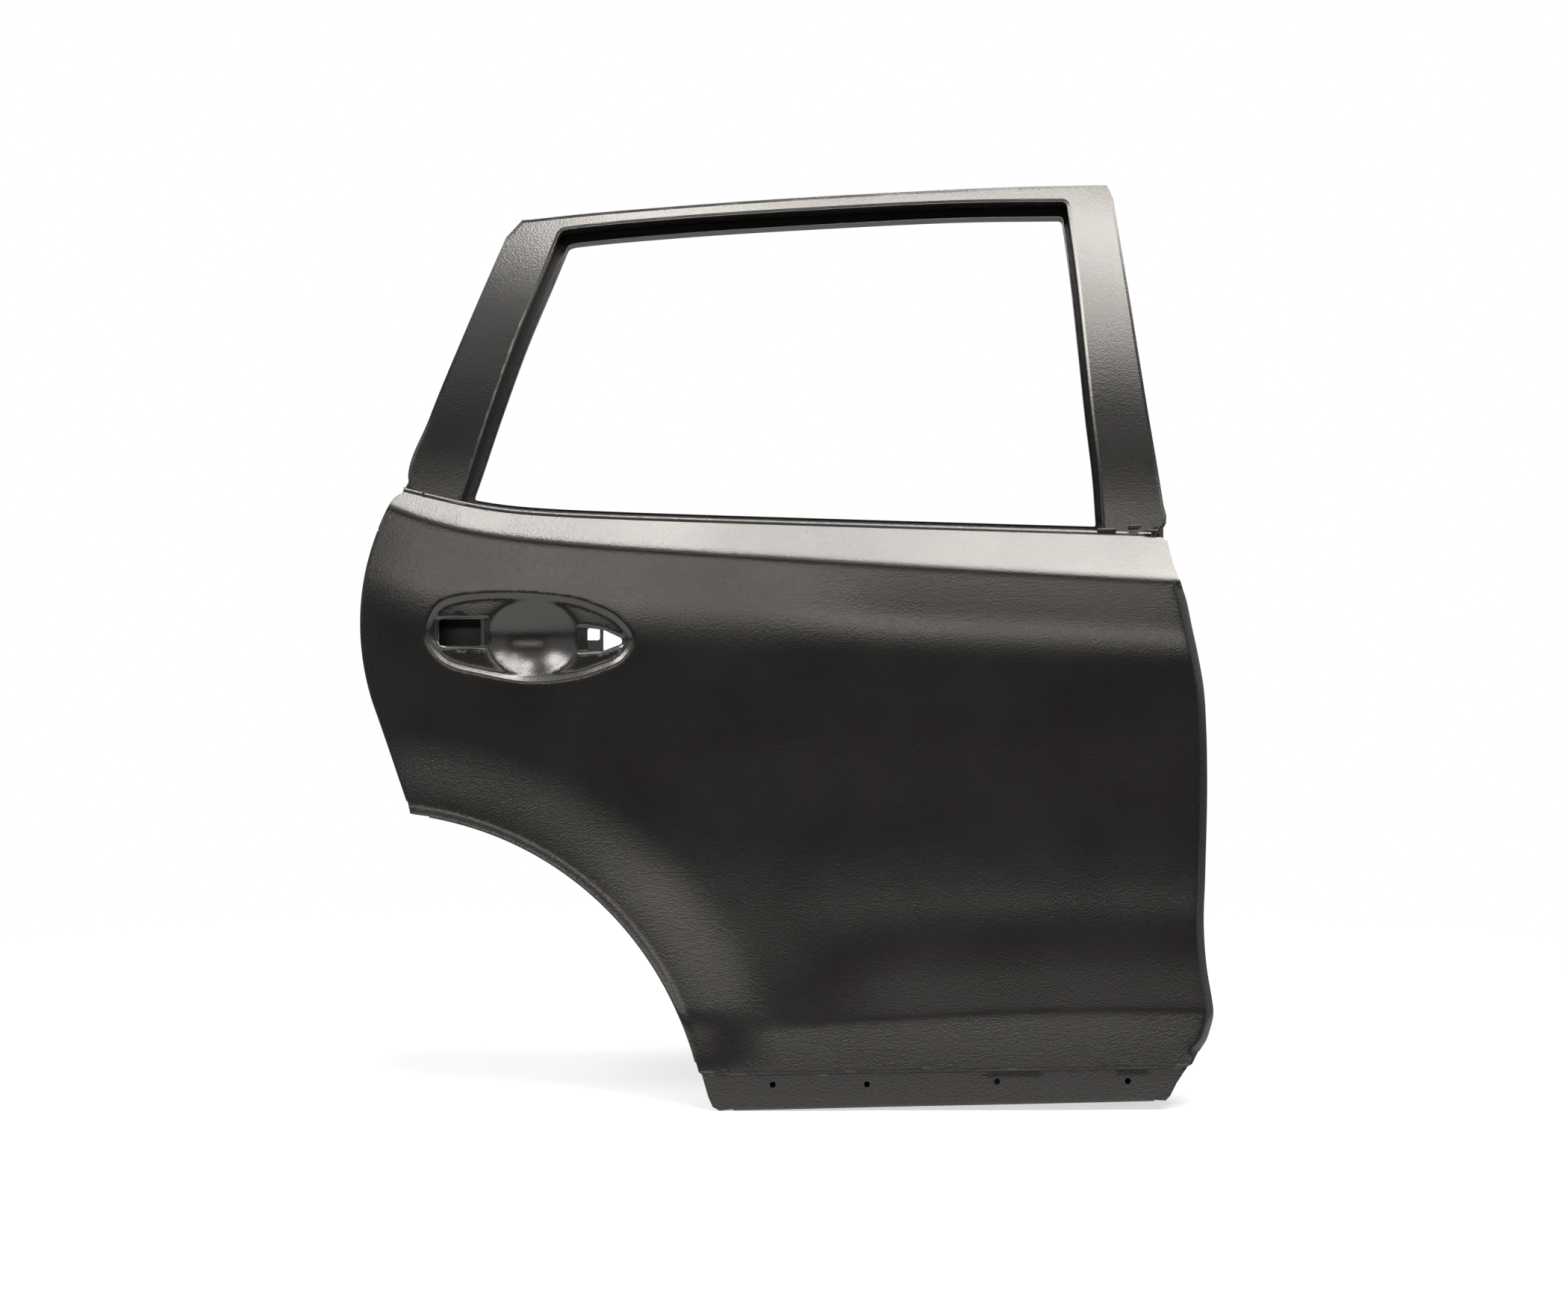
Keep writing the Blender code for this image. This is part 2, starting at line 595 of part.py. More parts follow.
class Sheet:
    """One pressed sheet, grown from rings, strips and triangulated regions, then thickened."""

    def __init__(self):
        self.points = []
        self.faces = []

    def ring(self, points):
        start = len(self.points)
        self.points.extend(np.asarray(points, float))
        return list(range(start, len(self.points)))

    def strip(self, first, second, closed=False):
        pairs = list(zip(first, second))
        if closed:
            pairs.append(pairs[0])
        for (a, b), (c, d) in zip(pairs, pairs[1:]):
            self.faces.append((a, c, d, b))

    def region(self, outline, holes, lines, spacing, lift):
        """Triangles between an outline and its holes, which keep the given lines. Returns the rings' indices."""
        loops = [np.asarray(loop, float) for loop in (outline, *holes)]
        lines = [np.asarray(line, float) for line in lines]
        flat = [p for part in (*loops, *lines) for p in part]
        edges = []
        at = 0
        for part in loops:
            edges += [(at + i, at + (i + 1) % len(part)) for i in range(len(part))]
            at += len(part)
        for part in lines:
            edges += [(at + i, at + i + 1) for i in range(len(part) - 1)]
            at += len(part)
        flat += inner_grid(loops, np.array(flat), spacing)
        made = delaunay_2d_cdt([Vector(p) for p in flat], edges, [], 0, 1e-5)
        where = np.array([tuple(p) for p in made[0]])
        middles = np.array([where[list(face)].mean(axis=0) for face in made[2]])
        keep = distance_inside(middles[:, 0], middles[:, 1], loops[0]) > SLIVER
        for hole in loops[1:]:
            keep &= distance_inside(middles[:, 0], middles[:, 1], hole) < -SLIVER
        used = sorted({i for face, kept in zip(made[2], keep) if kept for i in face})
        index = dict(zip(used, self.ring(lift(where[used]))))
        self.faces += [tuple(index[i] for i in face) for face, kept in zip(made[2], keep) if kept]
        origin = {source: out for out, sources in enumerate(made[3]) for source in sources}
        rings = []
        at = 0
        for part in loops:
            rings.append([index[origin[at + i]] for i in range(len(part))])
            at += len(part)
        return rings

    def build(self, name, colour, thickness, facing):
        """Makes the object: the sheet is its face towards the facing vector, and the metal lies behind it."""
        shape = bmesh.new()
        vertices = [shape.verts.new(Vector(p) * MM) for p in self.points]
        for face in self.faces:
            shape.faces.new([vertices[i] for i in face])
        bmesh.ops.recalc_face_normals(shape, faces=shape.faces)
        towards = sum((face.normal * face.calc_area() for face in shape.faces), Vector())
        if towards.dot(Vector(facing)) < 0:
            bmesh.ops.reverse_faces(shape, faces=shape.faces)
        made = add_object(name, shape, colour)
        solidify = made.modifiers.new("thickness", "SOLIDIFY")
        solidify.thickness = thickness * MM
        solidify.offset = -1
        solidify.use_even_offset = True
        solidify.use_quality_normals = True
        return made


def inner_grid(loops, taken, spacing):
    """Points of a staggered grid that lie inside the first loop, outside the others and clear of all lines."""
    low = loops[0].min(axis=0)
    high = loops[0].max(axis=0)
    found = []
    for row, z in enumerate(np.arange(low[1], high[1], spacing * 0.87)):
        for x in np.arange(low[0] + (row % 2) * spacing / 2, high[0], spacing):
            found.append((x, z))
    found = np.array(found)
    keep = distance_inside(found[:, 0], found[:, 1], loops[0]) > spacing * 0.4
    for hole in loops[1:]:
        keep &= distance_inside(found[:, 0], found[:, 1], hole) < -spacing * 0.4
    gaps = np.hypot(found[:, None, 0] - taken[None, :, 0], found[:, None, 1] - taken[None, :, 1])
    return list(found[keep & (gaps.min(axis=1) > spacing * 0.5)])


def material(name, colour):
    """Satin black electrocoat over steel, a little warmer or lighter from pressing to pressing."""
    made = bpy.data.materials.new(name)
    made.use_nodes = True
    surface = made.node_tree.nodes["Principled BSDF"]
    surface.inputs["Base Color"].default_value = (*colour, 1)
    surface.inputs["Roughness"].default_value = 0.42
    surface.inputs["Metallic"].default_value = 0.0
    return made


COAT = (0.035, 0.034, 0.032)
INNER_COAT = (0.028, 0.027, 0.026)
DEEP_COAT = (0.02, 0.02, 0.02)
MASTIC = (0.11, 0.1, 0.085)
ZINC = (0.32, 0.32, 0.31)


def add_object(name, shape, colour):
    mesh = bpy.data.meshes.new(name)
    shape.to_mesh(mesh)
    shape.free()
    mesh.materials.append(material(name + "_coat", colour))
    mesh.shade_smooth()
    mesh.set_sharp_from_angle(angle=math.radians(32))
    made = bpy.data.objects.new(name, mesh)
    bpy.context.scene.collection.objects.link(made)
    return made


def circle(centre, diameter, count=8):
    angles = np.arange(count) * 2 * math.pi / count
    return np.array([(centre[0] + diameter / 2 * math.cos(a), centre[1] + diameter / 2 * math.sin(a)) for a in angles])


def ellipse(scale, count=20):
    angles = np.arange(count) * 2 * math.pi / count
    across, up = BOWL_HALF
    return np.array([(BOWL[0] + scale * across * math.cos(a), BOWL[1] + scale * up * math.sin(a)) for a in angles])


def rounded(polygon, radius, per_corner=3):
    """The polygon with each corner rounded."""
    polygon = np.array(polygon, float)
    loop = []
    for before, here, after in zip(np.roll(polygon, 1, axis=0), polygon, np.roll(polygon, -1, axis=0)):
        start = here + (before - here) * min(radius / np.linalg.norm(before - here), 0.45)
        end = here + (after - here) * min(radius / np.linalg.norm(after - here), 0.45)
        for t in np.linspace(0, 1, per_corner):
            loop.append((1 - t) ** 2 * start + 2 * t * (1 - t) * here + t * t * end)
    return np.array(loop)


def closed_line(loop):
    return np.vstack([loop, loop[:1]])


def crease_line(height, start, end, count):
    return [(x, float(height(x))) for x in np.linspace(start, end, count)]


def border_lines(outline):
    """Lines that the skin and the inner panel's flange share, so that they lie parallel."""
    hems = outline.runs("hem")
    return [outline.inset(BORDER)[run] for run in hems] + [outline.inset(DROP_WIDTH)[hems[0]]]


def outer_panel(outline):
    """The skin: a drawn panel, hemmed round its edge, with a turned-in belt and a recess for the handle."""
    sheet = Sheet()
    boundary = outline.fold_line()
    hems = outline.runs("hem")
    lines = border_lines(outline)
    lines.append(crease_line(crease_z, -30, -1050, 30))
    lines.append(crease_line(lower_crease_z, 6, ARCH_LOW_X + 95, 16))
    lines.append(crease_line(sill_step_z, -20, ARCH_LOW_X + 23, 18))
    lines.append(crease_line(lambda x: sill_step_z(x) - SILL_STEP, -24, ARCH_LOW_X + 25, 18))
    lines.append(closed_line(RECESS_LOOP))
    lines += [closed_line(seat) for seat in SEATS]
    lines.append(closed_line(inset(closed_curve(RECESS, 1), RECESS_WALL)))
    lines += [closed_line(ellipse(scale, count)) for scale, count in ((1, 24), (0.72, 18), (0.4, 10))]
    holes = [rounded(behind_bowl(REAR_HANDLE_HOLE), 5), rounded(ahead_of_bowl(FRONT_HANDLE_HOLE), 4, 2)]
    holes += [circle(centre, CLIP_HOLE) for centre in CLIP_HOLES]
    edge = sheet.region(boundary, holes, lines, 44, on_skin)[0]
    for run in hems:
        previous = [edge[i] for i in run]
        turns = [math.radians(a) for a in (60, 120, 180)]
        profile = [(HEM_RADIUS * (1 - math.sin(a)), HEM_RADIUS * (1 - math.cos(a))) for a in turns]
        profile.append((HEM_RETURN, 2 * HEM_RADIUS))
        for away, depth in profile:
            ring = sheet.ring(behind_skin(outline.inset(away)[run], depth))
            sheet.strip(previous, ring)
            previous = ring
    for run in outline.runs("belt"):
        start = on_skin(outline.points[run])
        previous = [edge[i] for i in run]
        for inboard, up in ((1.2, 0.9), (5.6, 0.9), (6.6, 2), (6.6, 5.6), (7.6, 7), (9.2, 7)):
            ring = sheet.ring(start + np.array((0, inboard, up)))
            sheet.strip(previous, ring)
            previous = ring
    return sheet.build("outer_panel", COAT, SKIN, (0, -1, 0))


def frame_stretch(edge, start, end, count, across=0.0):
    """A run along one sash edge, with its offset across."""
    return [(float(edge(z)) + across, z) for z in np.linspace(start, end, count)]


def header_stretch(edge, start, end, count, down=0.0):
    return [(x, float(edge(x)) - down) for x in np.linspace(start, end, count)]


def window_loop():
    """The see-through opening of the inner panel, clockwise from the front lower corner."""
    sill = [(x, float(belt_z(x)) + WAIST_ABOVE_BELT) for x in np.linspace(*WINDOW_SILL_RUN, 20)]
    rear = frame_stretch(rear_sash_inner_x, *WINDOW_REAR_RUN, 9, LIP_REAR)
    header = header_stretch(header_bottom_z, *WINDOW_HEADER_RUN, 12, LIP_HEADER)
    front = frame_stretch(front_sash_inner_x, *WINDOW_FRONT_RUN, 10, -LIP_FRONT)
    return joined([sill, rear, header, front], [2, 3, 3, 2])


def box_loop(side, bottom, arch, sash, header):
    """A loop inside the door's edge, at its own distance from each side."""
    heights = heights_between(*BOX_FRONT_RUN, 14)
    front = [(min(float(front_edge_x(z)) - side, HINGE_X), z) for z in heights]
    sill = bottom_run(*BOX_SILL_RUN, 8, bottom)
    wheel = arch_run(arch, BOX_ARCH_LOW_Z, BOX_ARCH_REAR_X, 11)
    rear_heights = heights_between(*BOX_REAR_RUN, 10)
    rear = [(max(float(rear_edge_x(z)) + side, LATCH_X), z) for z in rear_heights]
    rear_sash = frame_stretch(rear_sash_outer_x, *BOX_REAR_SASH_RUN, 7, sash)
    top = header_stretch(header_top_z, *BOX_HEADER_RUN, 10, header)
    front_sash = frame_stretch(front_sash_outer_x, *BOX_FRONT_SASH_RUN, 10, -sash)
    rear_link = np.linspace(rear[-1], rear_sash[0], 6)[1:-1]
    front_link = np.linspace(front_sash[-1], front[0], 7)[1:-1]
    runs = [front, sill, wheel, [*rear, *rear_link, *rear_sash], top, [*front_sash, *front_link]]
    return joined(runs, [3, 3, 2, 3, 3, 0])


def frame_outer_run(inward, front_low=(), rear_low=()):
    """The window frame's outer edge, up the front sash, along the header and down the rear sash."""
    front = frame_stretch(front_sash_outer_x, *OUTER_FRONT_RUN, 12, -inward)
    header = header_stretch(header_top_z, *OUTER_HEADER_RUN, 14, inward)
    rear = frame_stretch(rear_sash_outer_x, *OUTER_REAR_RUN, 9, inward)
    front_corner = corner(front[-2], front[-1], header[0], header[1], 3)
    rear_corner = corner(header[-2], header[-1], rear[0], rear[1], 3)
    front = side_run(front_sash_outer_x, front_low, -inward) + front
    rear = rear + side_run(rear_sash_outer_x, rear_low, inward)
    return [tuple(p) for p in (*front, *front_corner, *header, *rear_corner, *rear)]


def frame_inner_run():
    """The window frame's inner edge, up the rear sash, along the header and down the front sash."""
    rear = frame_stretch(rear_sash_inner_x, *INNER_REAR_RUN, 12)
    header = header_stretch(header_bottom_z, *INNER_HEADER_RUN, 12)
    front = frame_stretch(front_sash_inner_x, *INNER_FRONT_RUN, 14)
    rear_corner = corner(rear[-2], rear[-1], header[0], header[1], 2)
    front_corner = corner(header[-2], header[-1], front[0], front[1], 2)
    return [tuple(p) for p in (*rear, *rear_corner, *header, *front_corner, *front)]


def flange_edge(outline):
    """The inner panel's own edge: inside the hem, then just behind the window frame's outer fold."""
    hemmed = [i for i, kind in enumerate(outline.kinds) if kind != "belt"]
    skin_part = list(outline.inset(FLANGE_EDGE)[hemmed])
    front_top = skin_part[-3:]
    return np.array(skin_part[:-4] + frame_outer_run(1.2)[::-1] + front_top)


def flange_lift(outline):
    """The flange lies behind the skin below the belt, closest in the hem, and behind the window frame above."""
    runs = [outline.points[run] for run in outline.runs("hem")]

    def lift(points):
        away = np.min([distance_to(points[:, 0], points[:, 1], run[:-1], run[1:]) for run in runs], axis=0)
        x, z = points.T
        depth = SKIN + FLANGE_GAP + INNER + FLANGE_DROP * smooth((away - BORDER) / FLANGE_STEP)
        low = np.column_stack([x, body_y(x, z) + depth * slope_factor(x, z), z])
        high = on_frame(points, FRAME_FOLD + GAP + INNER)
        above = smooth((z - belt_z(x) + 44) / 38)[:, None]
        return low * (1 - above) + high * above

    return lift


def window_frame_outer():
    """The frame's outer pressing: a flat face with both its edges folded back."""
    sheet = Sheet()
    outer = frame_outer_run(0, OUTER_FRONT_LOW, OUTER_REAR_LOW)
    inner = frame_inner_run()
    edge = sheet.region(np.array(outer + inner), [], [], 60, lambda points: on_frame(points, 0))[0]
    for run, indices in ((outer, edge[: len(outer)]), (inner, edge[len(outer) :])):
        sheet.strip(indices, sheet.ring(on_frame(run, FRAME_FOLD)))
    return sheet.build("window_frame_outer", COAT, SKIN, (0, -1, 0))


def swept(name, rows, thickness, facing, colour=DEEP_COAT):
    """A folded sheet whose rows of points run side by side."""
    sheet = Sheet()
    rings = [sheet.ring(row) for row in rows]
    for first, second in zip(rings, rings[1:]):
        sheet.strip(first, second)
    return sheet.build(name, colour, thickness, facing)


def run_channel(name, path, depth):
    """A U section that holds the glass run. Its path has the glass on the left."""
    path = np.array(path, float)
    away = inward_normals(path, closed=False)
    profile = ((0, CHANNEL_FRONT), (depth, CHANNEL_FRONT), (depth, CHANNEL_BACK), (-CHANNEL_LIP, CHANNEL_BACK))
    middle = away[len(path) // 2]
    rows = [on_frame(path + away * across, back) for across, back in profile]
    return swept(name, rows, CHANNEL, (-middle[0], 0, -middle[1]))


def lower_channel_x(end, z):
    start = FRONT_LOWER_CHANNEL_X if end == "front" else REAR_LOWER_CHANNEL_X
    return start + GLASS_SLOPE * (LOWER_CHANNEL_TOP - z)


def run_channels():
    front = frame_stretch(front_sash_inner_x, *FRONT_CHANNEL_RUN, 12)
    header = header_stretch(header_bottom_z, *HEADER_CHANNEL_RUN, 12)
    rear = frame_stretch(rear_sash_inner_x, *REAR_CHANNEL_RUN, 10)
    run_channel("front_sash_run_channel", front, SASH_CHANNEL_DEPTH)
    run_channel("header_run_channel", header, HEADER_CHANNEL_DEPTH)
    run_channel("rear_sash_run_channel", rear, SASH_CHANNEL_DEPTH)
    heights = np.linspace(LOWER_CHANNEL_BOTTOM, LOWER_CHANNEL_TOP, 8)
    front = [(lower_channel_x("front", z), z) for z in heights]
    rear = [(lower_channel_x("rear", z), z) for z in heights[::-1]]
    run_channel("front_lower_run_channel", front, LOWER_CHANNEL_DEPTH)
    run_channel("rear_lower_run_channel", rear, LOWER_CHANNEL_DEPTH)


def channel_bracket(end):
    """An angle that ties the lower end of a run channel to the inner panel."""
    away = 1 if end == "front" else -1
    web = LOWER_CHANNEL_DEPTH + CHANNEL + GAP
    middle = CHANNEL_BRACKET_Z[end]
    heights = (middle - CHANNEL_BRACKET_HALF, middle, middle + CHANNEL_BRACKET_HALF)
    back = RING_DEPTH - GAP
    profile = ((web, CHANNEL_FRONT + 3), (web, back - 3), (web + 3, back), (web + CHANNEL_BRACKET_REACH, back))
    rows = []
    for across, depth in profile:
        rows.append(on_frame([(lower_channel_x(end, z) + away * across, z) for z in heights], depth))
    return swept(end + "_channel_bracket", rows, SASH_BRACKET, (-away, 1, 0))


def waist_reinforcement_outer():
    """The stiffener under the belt's roll, which ends on the window frame's legs."""
    across = np.linspace(*WAIST_OUTER_ENDS, 16)
    rows = []
    for depth, up in WAIST_OUTER:
        rows.append(np.column_stack([across, BELT_Y + plan_y(across) + depth, belt_z(across) + up]))
    for up in WAIST_OUTER_FLANGE:
        rows.append(on_frame(np.column_stack([across, belt_z(across) + up]), -(INNER + GAP)))
    return swept("waist_reinforcement_outer", rows, INNER, (0, -1, 0))


def waist_reinforcement_inner():
    """The stiffener behind the inner panel's sill, with a rib along its middle."""
    across = np.linspace(*WAIST_INNER_ENDS, 14)
    back = RING_DEPTH - GAP - INNER
    rows = [on_frame(np.column_stack([across, belt_z(across) + up]), back - rib) for up, rib in WAIST_INNER]
    return swept("waist_reinforcement_inner", rows, INNER, (0, -1, 0))


def sash_bracket(name, place):
    """A stepped strip from inside a leg of the window frame to the inner panel."""
    sides, top = place
    near = SKIN + GAP
    far = RING_DEPTH - GAP - SASH_BRACKET
    rows = []
    for down, step in SASH_BRACKET_STEPS:
        rows.append(on_frame([(x, top + down) for x in np.linspace(*sides, 3)], near + (far - near) * step))
    return swept(name, rows, SASH_BRACKET, (0, -1, 0))


def handle_reinforcement():
    """The plate behind the handle recess, cut out round its bowl and its two openings."""
    edge = inset(RECESS_LOOP, 3)
    holes = [ellipse(1.04, 24), rounded(behind_bowl(REINFORCEMENT_REAR_HOLE), 5)]
    holes.append(rounded(ahead_of_bowl(REINFORCEMENT_WEB_HOLE), 2, 2))
    holes.append(rounded(ahead_of_bowl(REINFORCEMENT_NOSE_HOLE), 3, 2))

    def lift(points):
        return behind_skin(points, SKIN + GAP) + np.array((0, RECESS_DEPTH + SEAT_DEPTH, 0))

    sheet = Sheet()
    sheet.region(edge, holes, [], 30, lift)
    return sheet.build("handle_reinforcement", DEEP_COAT, SASH_BRACKET, (0, -1, 0))


def field_y(x, z):
    """The outboard face of the inner panel's field."""
    return float(on_frame([(x, z)], RING_DEPTH)[0, 1])


def corner_plate(name, face_x, inward, low_y, middle, half, cutter):
    """A thick plate against a side wall of the inner panel, turned along its inboard field."""
    heights = np.linspace(middle - half, middle + half, 3)
    reach = face_x + inward * PLATE_FLANGE
    rows = [[(face_x, low_y, z) for z in heights]]
    rows.append([(face_x, field_y(face_x, z) - GAP - PLATE_BEND, z) for z in heights])
    for x in (face_x + inward * PLATE_BEND, reach):
        rows.append([(x, field_y(x, z) - GAP, z) for z in heights])
    plate = swept(name, rows, HEAVY, (-inward, 1, 0))
    cut(plate, cutter)
    return plate


def cut(target, cutter):
    opening = target.modifiers.new("openings", "BOOLEAN")
    opening.operation = "DIFFERENCE"
    opening.solver = "EXACT"
    opening.object = cutter


def wall_cutter(name, face_x, round_holes, slot):
    """Cutters for the holes of one side wall: (y, z, diameter) each, and one slot."""
    shape = bmesh.new()
    for y, z, diameter in round_holes:
        place = Matrix.Translation(Vector((face_x, y, z)) * MM) @ Matrix.Rotation(math.pi / 2, 4, "Y")
        bmesh.ops.create_cone(
            shape, cap_ends=True, segments=12, radius1=diameter / 2 * MM, radius2=diameter / 2 * MM,
            depth=CUTTER_LENGTH * MM, matrix=place,
        )
    y, z, width, height = slot
    size = Matrix.Diagonal(Vector((CUTTER_LENGTH, width, height, 1 / MM))) * MM
    bmesh.ops.create_cube(shape, size=1, matrix=Matrix.Translation(Vector((face_x, y, z)) * MM) @ size)
    cutter = add_object(name, shape, ZINC)
    cutter.hide_render = True
    cutter.display_type = "WIRE"
    return cutter


def hinge_wall_cutter():
    holes = [(*HARNESS_HOLE_PLACE, HARNESS_HOLE)]
    for middle, spacing, hole in FASTENINGS:
        holes += [(HINGE_Y, middle + side * spacing / 2, hole) for side in (-1, 1)]
    return wall_cutter("hinge_wall_cutter", HINGE_X, holes, (HINGE_Y, CHECK_Z, *CHECK_SLOT))


def latch_wall_cutter():
    holes = [(y, LATCH_Z + up, LATCH_SCREW_HOLE) for y, up in LATCH_SCREWS]
    return wall_cutter("latch_wall_cutter", LATCH_X, holes, (LATCH_Y, LATCH_Z, *LATCH_SLOT))


def weld_nut(name, size, y, z):
    """A hexagon nut behind a reinforcement plate, its bore along x."""
    flats, height, bore = size
    angles = np.arange(12) * math.pi / 6
    corners = flats / 2 / np.cos((angles + math.pi / 6) % (math.pi / 3) - math.pi / 6)
    front = HINGE_X - INNER - GAP - HEAVY - NUT_GAP
    shape = bmesh.new()
    loops = []
    for x, radii in ((front, corners), (front - height, corners), (front - height, bore / 2), (front, bore / 2)):
        around = np.column_stack([np.full(12, x), y + radii * np.cos(angles), z + radii * np.sin(angles)])
        loops.append([shape.verts.new(Vector(p) * MM) for p in around])
    for first, second in zip(loops, loops[1:] + loops[:1]):
        for i in range(12):
            shape.faces.new((first[i], first[(i + 1) % 12], second[(i + 1) % 12], second[i]))
    bmesh.ops.recalc_face_normals(shape, faces=shape.faces)
    return add_object(name, shape, ZINC)


def fastenings():
    """The thick plates inside the hinge wall, and the weld nuts behind them."""
    cutter = hinge_wall_cutter()
    face = HINGE_X - INNER - GAP
    names = ("upper_hinge", "lower_hinge", "check_link")
    for name, (middle, spacing, _) in zip(names, FASTENINGS):
        corner_plate(name + "_reinforcement", face, -1, PLATE_LOW_Y, middle, PLATE_HALF, cutter)
        size = CHECK_NUT if name == "check_link" else HINGE_NUT
        for side, word in ((-1, "lower"), (1, "upper")):
            weld_nut(f"{name}_nut_{word}", size, HINGE_Y, middle + side * spacing / 2)
    return cutter


def beam_centre(x):
    share = (x - BEAM_FRONT[0]) / (BEAM_REAR[0] - BEAM_FRONT[0])
    return (1 - share) * np.array(BEAM_FRONT) + share * np.array(BEAM_REAR)


def around_beam(x, offsets):
    """Points at (y, z) offsets from the beam's axis."""
    return [beam_centre(x) + np.array((0, y, z)) for y, z in offsets]


def side_impact_beam():
    count = 20
    angles = np.arange(count) * 2 * math.pi / count
    outer = BEAM_DIAMETER / 2
    inner = outer - BEAM_WALL
    shape = bmesh.new()
    loops = []
    for x, radius in ((BEAM_FRONT[0], outer), (BEAM_REAR[0], outer), (BEAM_REAR[0], inner), (BEAM_FRONT[0], inner)):
        offsets = zip(radius * np.cos(angles), radius * np.sin(angles))
        loops.append([shape.verts.new(Vector(p) * MM) for p in around_beam(x, offsets)])
    for first, second in zip(loops, loops[1:] + loops[:1]):
        for i in range(count):
            shape.faces.new((first[i], first[(i + 1) % count], second[(i + 1) % count], second[i]))
    bmesh.ops.recalc_face_normals(shape, faces=shape.faces)
    return add_object("side_impact_beam", shape, DEEP_COAT)


def beam_bracket_front():
    """A saddle behind the beam's front end, flanged against the hinge wall."""
    half, flange, reach = FRONT_BEAM_BRACKET
    radius = BEAM_DIAMETER / 2 + GAP
    angles = np.radians(np.linspace(90, -90, 9))
    wall = HINGE_X - INNER - GAP

    def profile(grow):
        arc = [((radius + grow) * math.cos(a), (radius + grow) * math.sin(a)) for a in angles]
        return [(grow, half + grow), *[(y + (grow if abs(y) < 1 else 0), z) for y, z in arc], (grow, -half - grow)]

    rows = [around_beam(-reach, profile(0)), around_beam(wall, profile(0)), around_beam(wall, profile(flange))]
    return swept("beam_bracket_front", rows, HEAVY, (1, -1, 0))


def beam_bracket_rear():
    """A hat over the beam's rear end, whose feet stand on the inner panel."""
    ends, foot = REAR_BEAM_BRACKET
    radius = BEAM_DIAMETER / 2 + GAP + HEAVY
    angles = np.radians(np.linspace(90, 270, 9))
    rows = []
    for x in ends:
        centre = beam_centre(x)
        back = field_y(x, centre[2]) - GAP - HEAVY - centre[1]
        arc = [(radius * math.cos(a), radius * math.sin(a)) for a in angles]
        offsets = [(back, radius + foot), (back, radius), *arc, (back, -radius), (back, -radius - foot)]
        rows.append(around_beam(x, offsets))
    return swept("beam_bracket_rear", rows, HEAVY, (0, -1, 0))


def beam_mastic_pad(name, middle):
    """A cushion of mastic between the beam and the skin."""
    half_x, half_z = MASTIC_HALF
    shape = bmesh.new()
    layers = []
    steps = np.linspace(-1, 1, 5)
    for side in (0, 1):
        layer = []
        for v in steps:
            row = []
            for u in steps:
                x = middle + half_x * u * math.sqrt(1 - 0.4 * v * v)
                centre = beam_centre(x)
                z = centre[2] + half_z * v * math.sqrt(1 - 0.4 * u * u)
                skin_side = float(behind_skin([(x, z)], SKIN + MASTIC_GAP)[0, 1])
                beam_side = centre[1] - math.sqrt((BEAM_DIAMETER / 2) ** 2 - (z - centre[2]) ** 2) - MASTIC_GAP
                row.append(shape.verts.new(Vector((x, beam_side if side else skin_side, z)) * MM))
            layer.append(row)
        layers.append(layer)
    last = len(steps) - 1
    for layer in layers:
        for i in range(last):
            for j in range(last):
                shape.faces.new((layer[i][j], layer[i][j + 1], layer[i + 1][j + 1], layer[i + 1][j]))
    rim = [(0, j) for j in range(last)] + [(i, last) for i in range(last)]
    rim += [(last, j) for j in range(last, 0, -1)] + [(i, 0) for i in range(last, 0, -1)]
    for (a, b), (c, d) in zip(rim, rim[1:] + rim[:1]):
        shape.faces.new((layers[0][a][b], layers[0][c][d], layers[1][c][d], layers[1][a][b]))
    bmesh.ops.recalc_face_normals(shape, faces=shape.faces)
    return add_object(name, shape, MASTIC)


def pockets():
    """The rim and the floor's edge of each recessed field round an opening of the inner panel."""
    found = []
    for opening, radius in ((SERVICE_OPENING, 40), (REAR_OPENING, 32)):
        rim = rounded(inset(opening, -POCKET_BORDER - POCKET_WALL), radius, 3)
        found.append((rim, rounded(inset(opening, -POCKET_BORDER), radius - POCKET_WALL, 3)))
    rim = SPEAKER_HOLE + 2 * (POCKET_BORDER + POCKET_WALL)
    found.append((circle(SPEAKER_CENTRE, rim, 20), circle(SPEAKER_CENTRE, rim - 2 * POCKET_WALL, 20)))
    return found


def plateau_lift(points):
    """The inboard face of the door, parallel to the glass, with its fields set in."""
    lifted = on_frame(points, RING_DEPTH + INNER)
    for rim, _ in pockets():
        within = distance_inside(points[:, 0], points[:, 1], rim)
        lifted[:, 1] -= POCKET_DEPTH * np.clip(within / POCKET_WALL, 0, 1)
    return lifted


